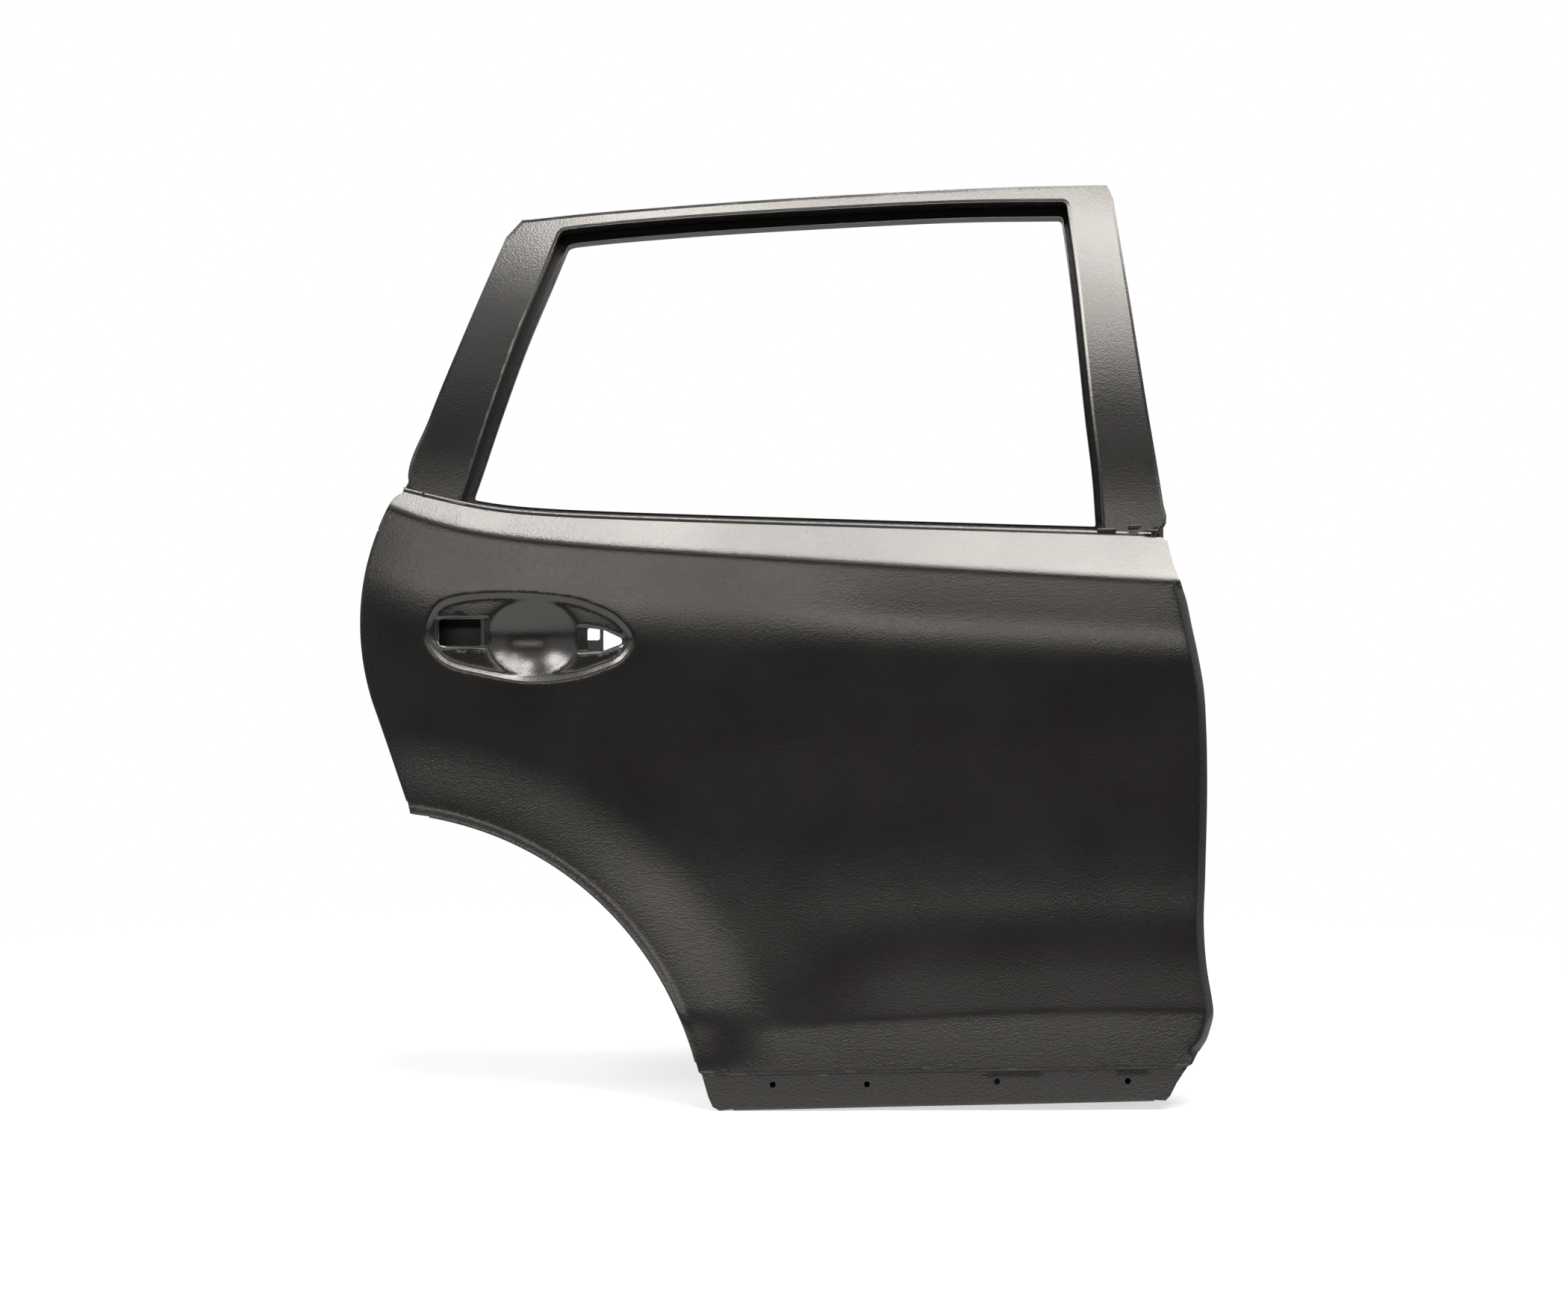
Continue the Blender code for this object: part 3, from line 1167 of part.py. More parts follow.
def inner_panel(outline, cutters):
    """The inner pressing: hem flange, side walls, inboard field with its openings, and the window ring.

    Its points lie on its outer and inboard faces, so that the hinge and latch faces are true planes.
    """
    sheet = Sheet()
    foot = box_loop(**BOX_FOOT)
    top = box_loop(**BOX_TOP)
    flange = sheet.region(flange_edge(outline), [foot], border_lines(outline), 60, flange_lift(outline))
    window = window_loop()
    openings = [rounded(SERVICE_OPENING, 30, 4), rounded(REAR_OPENING, 24, 3), circle(SPEAKER_CENTRE, SPEAKER_HOLE, 20)]
    lines = [closed_line(loop) for pocket in pockets() for loop in pocket]
    field = sheet.region(top, [window, *openings], lines, 70, plateau_lift)
    sheet.strip(flange[1], field[0], closed=True)
    turned = sheet.ring(on_frame(inset(window, 1.0), RING_DEPTH - RING_RETURN))
    sheet.strip(field[1], turned, closed=True)
    panel = sheet.build("inner_panel", INNER_COAT, INNER, (0, 1, 0))
    for cutter in cutters:
        cut(panel, cutter)
    return panel


def clear_scene():
    for existing in list(bpy.data.objects):
        bpy.data.objects.remove(existing, do_unlink=True)


def place_origin():
    """Moves everything so that the origin is the middle of the upper hinge's mounting face."""
    carrier = bpy.data.objects.new("door_shell", None)
    bpy.context.scene.collection.objects.link(carrier)
    carrier.location = Vector((-HINGE_X, -HINGE_Y, -UPPER_HINGE_Z)) * MM
    for made in bpy.context.scene.collection.objects:
        if made is not carrier:
            made.parent = carrier


def main():
    clear_scene()
    outline = Outline()
    outer_panel(outline)
    window_frame_outer()
    run_channels()
    for end in ("front", "rear"):
        channel_bracket(end)
    waist_reinforcement_outer()
    waist_reinforcement_inner()
    sash_bracket("front_sash_bracket", FRONT_SASH_BRACKET)
    sash_bracket("rear_sash_bracket", REAR_SASH_BRACKET)
    handle_reinforcement()
    hinge_cutter = fastenings()
    latch_cutter = latch_wall_cutter()
    latch_face = LATCH_X + INNER + GAP
    corner_plate("latch_reinforcement", latch_face, 1, LATCH_LOW_Y, LATCH_Z, LATCH_HALF, latch_cutter)
    side_impact_beam()
    beam_bracket_front()
    beam_bracket_rear()
    for place, middle in zip(("front", "middle", "rear"), MASTIC_PLACES):
        beam_mastic_pad("beam_mastic_pad_" + place, middle)
    inner_panel(outline, (hinge_cutter, latch_cutter))
    place_origin()


main()
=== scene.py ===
"""Bare rear side door shell of a car, pressed steel in satin black electrocoat, on a white studio ground.

Door coordinates are in millimetres: x runs forward from the hinge face, y inboard, z up from the sill.
The scene is in metres, with its origin at the middle of the upper hinge's mounting face.
"""

import json
import math
from itertools import accumulate, groupby

import bpy
import numpy as np
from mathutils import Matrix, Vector
from mathutils.geometry import delaunay_2d_cdt
from mathutils.kdtree import KDTree

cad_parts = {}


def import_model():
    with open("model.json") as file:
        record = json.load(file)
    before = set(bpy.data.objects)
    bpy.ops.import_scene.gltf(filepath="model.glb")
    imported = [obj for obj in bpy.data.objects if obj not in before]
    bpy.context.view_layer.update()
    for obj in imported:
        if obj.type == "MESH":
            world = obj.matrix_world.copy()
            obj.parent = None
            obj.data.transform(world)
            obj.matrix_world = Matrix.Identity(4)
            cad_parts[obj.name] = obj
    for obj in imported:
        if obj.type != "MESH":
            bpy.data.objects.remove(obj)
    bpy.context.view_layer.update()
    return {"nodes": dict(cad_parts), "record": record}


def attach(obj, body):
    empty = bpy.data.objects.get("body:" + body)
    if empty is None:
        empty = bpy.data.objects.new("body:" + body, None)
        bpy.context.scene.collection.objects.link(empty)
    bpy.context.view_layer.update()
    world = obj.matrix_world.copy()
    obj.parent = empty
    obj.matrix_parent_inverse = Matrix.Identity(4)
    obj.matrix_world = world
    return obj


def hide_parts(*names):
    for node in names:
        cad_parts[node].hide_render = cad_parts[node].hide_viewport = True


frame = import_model()

MM = 0.001

# A triangle whose middle lies this close to an edge of its region is a flat leftover outside it
SLIVER = 0.002

# Sheet metal and the gaps between welded layers
SKIN = 0.8
INNER = 0.8
GAP = 0.5

# Hem of the skin round the inner panel's flange
HEM_RADIUS = SKIN + GAP + INNER / 2
HEM_RETURN = 8.5
BORDER = 12.0
FLANGE_EDGE = HEM_RADIUS + 0.9
FLANGE_GAP = 0.6
FLANGE_DROP = 2.4
FLANGE_STEP = 6.0

# Hinge face, latch face and fastenings
HINGE_X = 0.0
HINGE_Y = 52.0
UPPER_HINGE_Z = 518.0
ORIGIN = (HINGE_X, HINGE_Y, UPPER_HINGE_Z)
CHECK_Z = 365.0
CHECK_SLOT = (18.0, 28.0)
LATCH_X = -1078.0
LATCH_Z = 640.0
LATCH_Y = 66.0
LATCH_SLOT = (24.0, 44.0)
LATCH_SCREW_HOLE = 8.0
LATCH_SCREWS = ((54, 33), (78, 33), (66, -34))
HARNESS_HOLE = 38.0
HARNESS_HOLE_PLACE = (60.0, 285.0)

# Bolts of each plate on the hinge wall: height, spacing and hole
FASTENINGS = ((UPPER_HINGE_Z, 46.0, 11.0), (190.0, 46.0, 11.0), (CHECK_Z, 50.0, 7.0))
CUTTER_LENGTH = 16.0

# Outline: the sill, the wheel arch and the rear edge
SILL_FRONT_END = ((1.5, 61), (-4, 57.5), (-18, 36), (-27, 18.5), (-33, 12.5))
BOTTOM_Z = 12.6
BOTTOM_SLOPE = 0.0202
ARCH_CENTRE = (-1082.4, -54.9)
ARCH_RADIUS = 443.8
ARCH_LOW_Z = 63.7
ARCH_REAR_X = -1009.2
ARCH_LOW_X = ARCH_CENTRE[0] + math.sqrt(ARCH_RADIUS**2 - (ARCH_LOW_Z - ARCH_CENTRE[1]) ** 2)
ARCH_REAR_Z = ARCH_CENTRE[1] + math.sqrt(ARCH_RADIUS**2 - (ARCH_REAR_X - ARCH_CENTRE[0]) ** 2)
REAR_EDGE_X = -1103.5
REAR_MIDDLE_Z = 640.0
REAR_RADIUS = 346.5
REAR_STRAIGHT_TOP = 536.4
REAR_TOP_Z = 808.0
REAR_CORNER = (-1034.5, ARCH_REAR_Z + 5.2)
BELT_FRONT_X = -44.0
BELT_REAR_INSET = 12.0

# The sill's rear end: distance ahead of the arch's low end, and height above the bottom line
SILL_REAR_END = ((32.7, 0.2), (23.7, 5.2), (18.7, 17.3), (10.2, 48.4), (5.2, 52.0))

# Lines of the skin, by distance back from the hinge face
BELT_Z = 755.0
BELT_RISE = 0.0295
CREASE_Z = 696.8
CREASE_RISE = 0.053
LOWER_CREASE_Z = 130.5
SILL_STEP_Z = 60.4
SILL_STEP_RISE = 0.0132

# Depth of the skin
BELT_Y = 57.0
PLAN_SAG = 8.0
PLAN_MIDDLE = -540.0
PLAN_REACH = 500.0
FACET_LEAN = 33.0
SILL_LEAN = 12.0
BAND_LEAN = 4.0
FLARE = 8.0
FLARE_WIDTH = 125.0
LIP_FLARE = 2.5
LIP_FLARE_WIDTH = 14.0
DROP_WIDTH = 9.0

# Bowl for the fingers
BOWL = (-872.0, 620.5)
BOWL_HALF = (61.5, 49.5)
BOWL_DEPTH = 24.0
BOWL_REAR_X = BOWL[0] - BOWL_HALF[0]
BOWL_FRONT_X = BOWL[0] + BOWL_HALF[0]

# Handle recess and its two openings, by distance from the bowl's front and rear ends, and height
RECESS_REAR_LOW = ((53.5, 563.5), (-8.5, 573.5), (-56.5, 588))
RECESS_REAR_TOP = ((-81.5, 622), (-69.5, 661), (-38.5, 677), (28.5, 682))
RECESS_FRONT = ((-20.5, 677), (20.5, 666), (53.5, 649), (74, 620), (58.5, 593), (29.5, 579), (-10.5, 567.5))
RECESS_DEPTH = 5.0
REAR_HANDLE_HOLE = ((-63.5, 611), (-2.5, 611), (-2.5, 646.5), (-63.5, 646.5))
FRONT_HANDLE_HOLE = ((12, 604.5), (33, 604.5), (58, 614), (58, 621), (33.5, 632.5), (12, 635))
SEAT_DEPTH = 3.0
REAR_SEAT = ((-69, 650), (5, 652), (5, 604.5), (-60, 607.5), (-69, 616))
FRONT_SEAT = ((-5, 641), (9, 640.5), (34, 636), (62, 625), (63.5, 617), (60, 609), (34, 600.5), (-5, 598.5))
CLIP_HOLE = 8.0
CLIP_HOLES = ((ARCH_LOW_X + 102.9, 34.5), (-427.5, 34.5), (-255.8, 38), (-83, 38.5))

# Window frame: a face on an upright cylinder that leans in towards the roof
FRAME_SETBACK = 11.0
FRAME_RADIUS = 1354.0
FRAME_LEAN = 7.0
FRAME_REF_Z = 770.0
FRAME_FOLD = 13.0
RING_DEPTH = 33.0
LIP_REAR = 14.0
LIP_FRONT = 6.0
LIP_HEADER = 11.0
WAIST_ABOVE_BELT = 14.0
RING_RETURN = 6.0

# Ends of the runs of the frame's edges, by height on the sashes and by distance along the header
OUTER_FRONT_LOW = (700.0, 775.0)
OUTER_FRONT_RUN = (784.0, 1222.0)
OUTER_HEADER_RUN = (-90.0, -897.0)
OUTER_REAR_RUN = (1166.0, 838.0)
OUTER_REAR_LOW = (820.0, 748.0)
INNER_REAR_RUN = (748.0, 1168.0)
INNER_HEADER_RUN = (-836.0, -156.0)
INNER_FRONT_RUN = (1212.0, 700.0)

# Inner panel's box: its runs, and how far its foot and its top lie inside the door's edge on each side
BOX_FRONT_RUN = (700.0, 96.0)
BOX_SILL_RUN = (-66.0, ARCH_LOW_X + 66.7)
BOX_REAR_RUN = (REAR_CORNER[1] + 44, 770.0)
BOX_REAR_SASH_RUN = (858.0, 1148.0)
BOX_HEADER_RUN = (-868.0, -120.0)
BOX_FRONT_SASH_RUN = (1204.0, 806.0)
BOX_ARCH_LOW_Z = 112.0
BOX_ARCH_REAR_X = -970.0
BOX_FOOT = {"side": 19.0, "bottom": 17.0, "arch": 17.0, "sash": 7.0, "header": 2.8}
BOX_TOP = {"side": 20.0, "bottom": 44.0, "arch": 30.0, "sash": 13.0, "header": 5.4}

# Openings of the inner panel
SERVICE_OPENING = ((-545, 352), (-640, 450), (-640, 600), (-560, 640), (-250, 590), (-250, 352))
REAR_OPENING = ((-850, 470), (-876, 505), (-876, 640), (-715, 640), (-715, 470))
SPEAKER_CENTRE = (-300.0, 212.0)
SPEAKER_HOLE = 150.0
POCKET_DEPTH = 7.0
POCKET_WALL = 8.0
POCKET_BORDER = 14.0

# How finely the pressings are drawn: the grid's spacing within each distance of the lines
GRADES = ((3.2, 10.0), (6.0, 32.0), (12.0, 2000.0))
FRAME_GRADES = ((8.0, 60.0), (16.0, 2000.0))
INNER_GRADES = ((5.0, 9.0), (11.0, 2000.0))
SMOOTH_ANGLE = math.radians(30)

# Offsets of the lines that the skin's mesh keeps: from the drop, creases, sill step, recess, seats and bowl
LINE_SPACING = 5.0
DROP_LINES = (-3.0, -1.0, 1.0, 3.2)
CREASE_LINES = (-14, -8, -4.5, -1.5, 1.5, 4.5, 8, 14)
LOWER_CREASE_LINES = (-10, -5, -1.7, 1.7, 5, 10)
SILL_STEP_LINES = (-0.5, 0.6, 1.7, 3.1, 4.6, 5.7, 6.8, 9, 13)
RECESS_LINES = (0, 1.2, 2.5, 3.7, 5, 6.2, 7.5)
SEAT_LINES = (0, 0.8, 1.6, 2.4, 3.1)
BOWL_LINES = (1.02, 0.98, 0.94, 0.9, 0.84, 0.76, 0.66)

# Roundings of the skin's bends, the bowl's as a share, and widths of the walls of the recess and the seats
CREASE_ROUND = 4.0
LOWER_CREASE_ROUND = 5.0
DROP_ROUND = 2.5
BOWL_ROUND = 0.16
RECESS_SLOPE = 7.6
SEAT_SLOPE = 4.2

# The belt's turned-in edge: steps inboard and up
BELT_PROFILE = (
    (0.4, 0.6), (1.2, 0.9), (4.8, 0.9), (5.5, 1.3), (5.8, 2.0), (5.9, 3.0), (7.5, 6.0), (8.2, 6.7), (9.4, 7),
)

# Depth and place of the two folds of the sill's joggle, and the stronger stretches of its second fold
SILL_FOLDS = ((-0.5, 2.4), (4.6, 2.4))
FOLD_HEIGHT = 2.2
SILL_STRESSES = ((-276.0, -191.0), (-103.0, -49.0))
STRESS_DEPTH = 0.35

# Height above the sill over which the wheel arch's flare fades out
FLARE_FADE = 85.0

# Radius of the window frame's folds, and how far behind its outer fold the inner pressing's edge lies
FRAME_FOLD_RADIUS = 1.2
FRAME_EDGE_INSET = 1.2

# Ends of the see-through opening's sides
SIGHT_SILL_RUN = (-119.0, -952.0)
SIGHT_REAR_RUN = (817.0, 1163.0)
SIGHT_HEADER_RUN = (-822.0, -157.0)
SIGHT_FRONT_RUN = (1203.0, 777.0)

# Inner pressing: the window ring's return along the header, the box's roundings, and where the header starts
HEADER_RETURN = 12.0
BOX_FILLET = 6.0
BOX_FILLET_STEPS = 5
FOOT_FILLET = 2.2
HEADER_START = 1100.0

# Points of the sashes' lower runs, below the belt
FRONT_LOW_COUNT = 24
REAR_LOW_COUNT = 16


def ramp(value, width):
    """Rises from zero to the value itself, rounded over the width."""
    return (value + np.sqrt(value * value + width * width)) / 2


def smooth(value):
    value = np.clip(value, 0, 1)
    return value * value * (3 - 2 * value)


def curve_through(stations):
    """A smooth function through (position, value) stations."""
    at, value = np.array(sorted(stations), float).T
    slope = np.gradient(value, at)

    def read(where):
        where = np.clip(where, at[0], at[-1])
        index = np.clip(np.searchsorted(at, where) - 1, 0, len(at) - 2)
        step = at[index + 1] - at[index]
        t = (where - at[index]) / step
        start = (2 * t**3 - 3 * t**2 + 1) * value[index] + (t**3 - 2 * t**2 + t) * step * slope[index]
        end = (3 * t**2 - 2 * t**3) * value[index + 1] + (t**3 - t**2) * step * slope[index + 1]
        return start + end

    return read


def closed_curve(points, per_span):
    """A closed smooth loop through the points."""
    points = np.array(points, float)
    loop = []
    for i in range(len(points)):
        before, start, end, after = (points[(i + k) % len(points)] for k in (-1, 0, 1, 2))
        for t in np.arange(per_span) / per_span:
            bend = 2 * before - 5 * start + 4 * end - after
            third = 3 * start - before - 3 * end + after
            loop.append(start + 0.5 * ((end - before) * t + bend * t**2 + third * t**3))
    return np.array(loop)


def lean_table(stations):
    """Depth gained from a share of the height up to its top, for the skin's lean in degrees at each share."""
    share = np.linspace(0, 1, 161)
    lean = np.tan(np.radians(np.interp(share, *np.array(stations).T)))
    steps = (lean[1:] + lean[:-1]) / 2 * (share[1] - share[0])
    depth = np.concatenate([[0], np.cumsum(steps)])
    return lambda where: depth[-1] - np.interp(where, share, depth)


FRONT_LEANS = lean_table(
    ((0, 3.5), (0.08, 3), (0.25, 8.5), (0.45, 2), (0.6, 0), (0.8, 0.5), (0.9, 11.5), (0.96, 10), (1, 8))
)
REAR_LEANS = lean_table(((0, 10), (0.15, 9), (0.3, 7), (0.45, 3), (0.6, 0.3), (0.8, 0.5), (0.9, 8), (1, 6)))

# Edges of the door and its window frame: x by height on the sides, z by x along the header
front_edge_x = curve_through((
    (756, -24.5), (717, -17), (676, -2), (636, 6), (597, 14), (557, 21), (498, 25), (438, 26.5), (300, 23.5),
    (242, 21), (182, 25), (143, 31.5), (126, 33.5), (103, 28), (88, 22), (74, 11), (66, 5),
))
rear_sash_outer_x = curve_through((
    (748, -1028), (800, -1036), (835, -1042), (915, -1015), (1038, -968), (1166, -918),
))
front_sash_outer_x = curve_through((
    (700, -58), (745, -50), (775, -24.5), (800, -28), (845, -34.5), (915, -45), (997, -56), (1080, -66),
    (1164, -76), (1223, -82.5),
))
header_top_z = curve_through((
    (-891, 1190.5), (-815, 1199), (-712, 1208), (-609, 1216), (-403, 1229), (-196, 1239), (-88, 1241.5),
))
rear_sash_inner_x = curve_through((
    (748, -994), (820, -968), (925.6, -934.5), (1028, -900.5), (1121, -865.5), (1178, -844.8),
))
front_sash_inner_x = curve_through((
    (700, -104), (777, -108.6), (835, -112), (926, -121), (1028, -129), (1121, -136), (1220, -145.4),
))
header_bottom_z = curve_through((
    (-845, 1178), (-814, 1182), (-691, 1193.7), (-485, 1207.7), (-279, 1218), (-145.4, 1220),
))


def belt_z(x):
    return BELT_Z + BELT_RISE * (-x - 26) + 0.24 * ramp(-x - 930, 70)


def crease_z(x):
    return CREASE_Z + CREASE_RISE * (-x - 16) + 0.457 * ramp(-x - 1000, 110)


def lower_crease_z(x):
    return LOWER_CREASE_Z - 1.05e-4 * (x + 80) ** 2


def sill_step_z(x):
    return SILL_STEP_Z + SILL_STEP_RISE * x


def bottom_z(x):
    return BOTTOM_Z + BOTTOM_SLOPE * x


def rear_edge_x(z):
    arc_z = np.maximum(z, REAR_STRAIGHT_TOP) - REAR_MIDDLE_Z
    arc_x = REAR_EDGE_X + REAR_RADIUS - np.sqrt(np.maximum(REAR_RADIUS**2 - arc_z**2, 1))
    rise = (z - REAR_CORNER[1]) / (REAR_STRAIGHT_TOP - REAR_CORNER[1])
    line_x = REAR_CORNER[0] + (arc_x - REAR_CORNER[0]) * rise
    return np.where(z >= REAR_STRAIGHT_TOP, arc_x, line_x)


def plan_y(x):
    """The whole side of the car curves in at both ends."""
    return PLAN_SAG * ((x - PLAN_MIDDLE) / PLAN_REACH) ** 2


def distance_to(x, z, start, end):
    """The distance from each point to the nearest of the segments."""
    x = np.asarray(x, float)[..., None]
    z = np.asarray(z, float)[..., None]
    run = end - start
    along = ((x - start[:, 0]) * run[:, 0] + (z - start[:, 1]) * run[:, 1]) / (run**2).sum(axis=1)
    along = np.clip(along, 0, 1)
    return np.hypot(x - start[:, 0] - along * run[:, 0], z - start[:, 1] - along * run[:, 1]).min(axis=-1)


def distance_inside(x, z, polygon):
    """How far each point lies inside the polygon, negative outside."""
    start = np.asarray(polygon, float)
    end = np.roll(start, -1, axis=0)
    gap = distance_to(x, z, start, end)
    x = np.asarray(x, float)[..., None]
    z = np.asarray(z, float)[..., None]
    run = end - start
    above = (start[:, 1] > z) != (end[:, 1] > z)
    height = np.where(run[:, 1] == 0, 1, run[:, 1])
    crossing = start[:, 0] + (z - start[:, 1]) * run[:, 0] / height
    return np.where((above & (x < crossing)).sum(axis=-1) % 2 == 1, gap, -gap)


def ahead_of(start, points):
    """Points given by their distance ahead of a place along the door."""
    return [(start + ahead, z) for ahead, z in points]


def frame_lean(z):
    """Lean of the window frame's cylinder, upright at the bottom of the door."""
    rise = math.sin(math.radians(FRAME_LEAN)) + (np.asarray(z, float) - FRAME_REF_Z) / FRAME_RADIUS
    return np.arcsin(np.clip(rise, 0, 0.9))


def on_frame(points, depth):
    """Points a depth behind the window frame's face."""
    x, z = np.array(points, float).T
    lean = frame_lean(z)
    face = BELT_Y + FRAME_SETBACK + plan_y(x)
    face += FRAME_RADIUS * (math.cos(math.radians(FRAME_LEAN)) - np.cos(lean))
    return np.column_stack([x, face + depth * np.cos(lean), z - depth * np.sin(lean)])


def inward_normals(points, closed=True):
    """Unit normals to the right of the way round, mitred at each point."""
    points = np.asarray(points, float)
    if closed:
        before = np.roll(points, 1, axis=0)
        after = np.roll(points, -1, axis=0)
    else:
        before = np.vstack([2 * points[0] - points[1], points[:-1]])
        after = np.vstack([points[1:], 2 * points[-1] - points[-2]])
    first = points - before
    second = after - points
    first /= np.linalg.norm(first, axis=1)[:, None]
    second /= np.linalg.norm(second, axis=1)[:, None]
    middle = first + second
    middle /= np.linalg.norm(middle, axis=1)[:, None]
    mitre = np.clip((first * middle).sum(axis=1), 0.6, 1)
    return np.column_stack([middle[:, 1], -middle[:, 0]]) / mitre[:, None]


def inset(points, amount, closed=True):
    return np.asarray(points, float) + inward_normals(points, closed) * np.reshape(amount, (-1, 1))


def corner(before, start, end, after, count):
    """Points that round the corner between the last two points of a run and the first two of the next."""
    before, start, end, after = (np.array(p, float) for p in (before, start, end, after))
    first = start - before
    second = end - after
    turn = first[0] * second[1] - first[1] * second[0]
    if abs(turn) < 0.05 * np.linalg.norm(first) * np.linalg.norm(second):
        middle = (start + end) / 2
    else:
        gap = end - start
        middle = start + first * (gap[0] * second[1] - gap[1] * second[0]) / turn
    steps = [(k + 1) / (count + 1) for k in range(count)]
    return [(1 - t) ** 2 * start + 2 * t * (1 - t) * middle + t * t * end for t in steps]


def joined(runs, counts):
    """One closed loop from runs and the rounded corner after each of them."""
    loop = []
    for run, following, count in zip(runs, runs[1:] + runs[:1], counts):
        loop.extend(np.array(run, float))
        if count:
            loop.extend(corner(*run[-2:], *following[:2], count))
    return np.array(loop)


def side_run(edge_x, heights, across=0.0):
    """A run up or down one side, with its offset across the edge."""
    return [(float(edge_x(z)) + across, z) for z in heights]


def side_stretch(edge_x, start, end, count, across=0.0):
    """A side run through evenly spaced heights."""
    return side_run(edge_x, np.linspace(start, end, count), across)


def stretch_along(line_z, start, end, count, up=0.0):
    """Evenly spaced points along an upper or lower line, with their offset up."""
    return [(x, float(line_z(x)) + up) for x in np.linspace(start, end, count)]


def front_crease_height():
    """The height at which the shoulder crease meets the front edge."""
    z = CREASE_Z
    for _ in range(30):
        z = float(crease_z(front_edge_x(z)))
    return z


def heights_with(start, end, count, extra):
    """Even heights together with the extra ones, in place of any that lie too close to those."""
    clear = 0.4 * abs(end - start) / (count - 1)
    kept = [z for z in np.linspace(start, end, count) if all(abs(z - own) > clear for own in extra)]
    return sorted([*kept, *extra], reverse=start > end)


def arch_run(inset_by, low_z, rear_x, count):
    """Up the wheel arch, from a height at its front to a place along its top."""
    radius = ARCH_RADIUS + inset_by
    start = math.asin((low_z - ARCH_CENTRE[1]) / radius)
    end = math.acos((rear_x - ARCH_CENTRE[0]) / radius)
    angles = np.linspace(start, end, count)
    return [(ARCH_CENTRE[0] + radius * math.cos(a), ARCH_CENTRE[1] + radius * math.sin(a)) for a in angles]


def sill_rear_end():
    """The sill's rear end, up to the low end of the arch."""
    return [(ARCH_LOW_X + ahead, float(bottom_z(ARCH_LOW_X + ahead)) + up) for ahead, up in SILL_REAR_END]


def ellipse(centre, across, up, count):
    angles = np.arange(count) * 2 * math.pi / count
    return np.array([(centre[0] + across * math.cos(a), centre[1] + up * math.sin(a)) for a in angles])


def circle(centre, diameter, count):
    return ellipse(centre, diameter / 2, diameter / 2, count)


def rounded(polygon, radius, per_corner=3):
    """The polygon with each corner rounded."""
    polygon = np.array(polygon, float)
    loop = []
    for before, here, after in zip(np.roll(polygon, 1, axis=0), polygon, np.roll(polygon, -1, axis=0)):
        start = here + (before - here) * min(radius / np.linalg.norm(before - here), 0.45)
        end = here + (after - here) * min(radius / np.linalg.norm(after - here), 0.45)
        for t in np.linspace(0, 1, per_corner):
            loop.append((1 - t) ** 2 * start + 2 * t * (1 - t) * here + t * t * end)
    return np.array(loop)


def closed_line(loop):
    return np.vstack([loop, loop[:1]])


RECESS = [
    *ahead_of(BOWL_REAR_X, RECESS_REAR_TOP), *ahead_of(BOWL_FRONT_X, RECESS_FRONT),
    *ahead_of(BOWL_REAR_X, RECESS_REAR_LOW),
]
RECESS_LOOP = closed_curve(RECESS, 10)
SEATS = (rounded(ahead_of(BOWL_REAR_X, REAR_SEAT), 5, 5), rounded(ahead_of(BOWL_FRONT_X, FRONT_SEAT), 6, 5))
HANDLE_HOLES = (
    rounded(ahead_of(BOWL_REAR_X, REAR_HANDLE_HOLE), 5, 6),
    rounded(ahead_of(BOWL_FRONT_X, FRONT_HANDLE_HOLE), 4, 5),
)


def rounded_step(share, rounding=0.16):
    """A straight rise from nought to one with rounded ends."""
    return np.clip(ramp(share, rounding) - ramp(share - 1, rounding), 0, 1)


def in_blocks(read, x, z, size=4000):
    """Reads a function of many points a block at a time, to spare memory."""
    return np.concatenate([read(x[i : i + size], z[i : i + size]) for i in range(0, len(x), size)])


def inside_of(loop, x, z):
    return in_blocks(lambda a, b: distance_inside(a, b, loop), x, z)


def front_drop(x, z):
    """The skin's front edge turns back at 45 degrees between the shoulder and the sill."""
    slope = (front_edge_x(z + 1) - front_edge_x(z - 1)) / 2
    inward = (front_edge_x(z) - x) / np.sqrt(1 + slope**2)
    share = smooth((z - 68) / 14) * smooth((crease_z(x) - 1 - z) / 12)
    return np.maximum(ramp(DROP_WIDTH - inward, DROP_ROUND) - DROP_ROUND / 40, 0) * share


def recess_depth(x, z):
    """The handle's recess, the seats round its two openings, and the bowl between them."""
    inside = inside_of(RECESS_LOOP, x, z)
    wall = rounded_step(inside / RECESS_SLOPE)
    reach = np.sqrt(((x - BOWL[0]) / BOWL_HALF[0]) ** 2 + ((z - BOWL[1]) / BOWL_HALF[1]) ** 2)
    deepest = BOWL_DEPTH * ramp(np.clip(1 - reach**2, -1, 1), BOWL_ROUND)
    for seat in SEATS:
        deepest = np.maximum(deepest, SEAT_DEPTH * rounded_step(inside_of(seat, x, z) / SEAT_SLOPE))
    return RECESS_DEPTH * wall + deepest * smooth(inside / 3)


def sill_joggle(x, down):
    """The sill band lies behind the skin above it, by two small folds one below the other."""
    depth = 0
    for start, step in SILL_FOLDS:
        depth = depth + step * smooth((down - start) / FOLD_HEIGHT)
    for rear, front in SILL_STRESSES:
        along = smooth((x - rear) / 10) * smooth((front - x) / 10)
        depth = depth + STRESS_DEPTH * along * smooth((down - 4.0) / 2) * smooth((14 - down) / 8)
    return depth


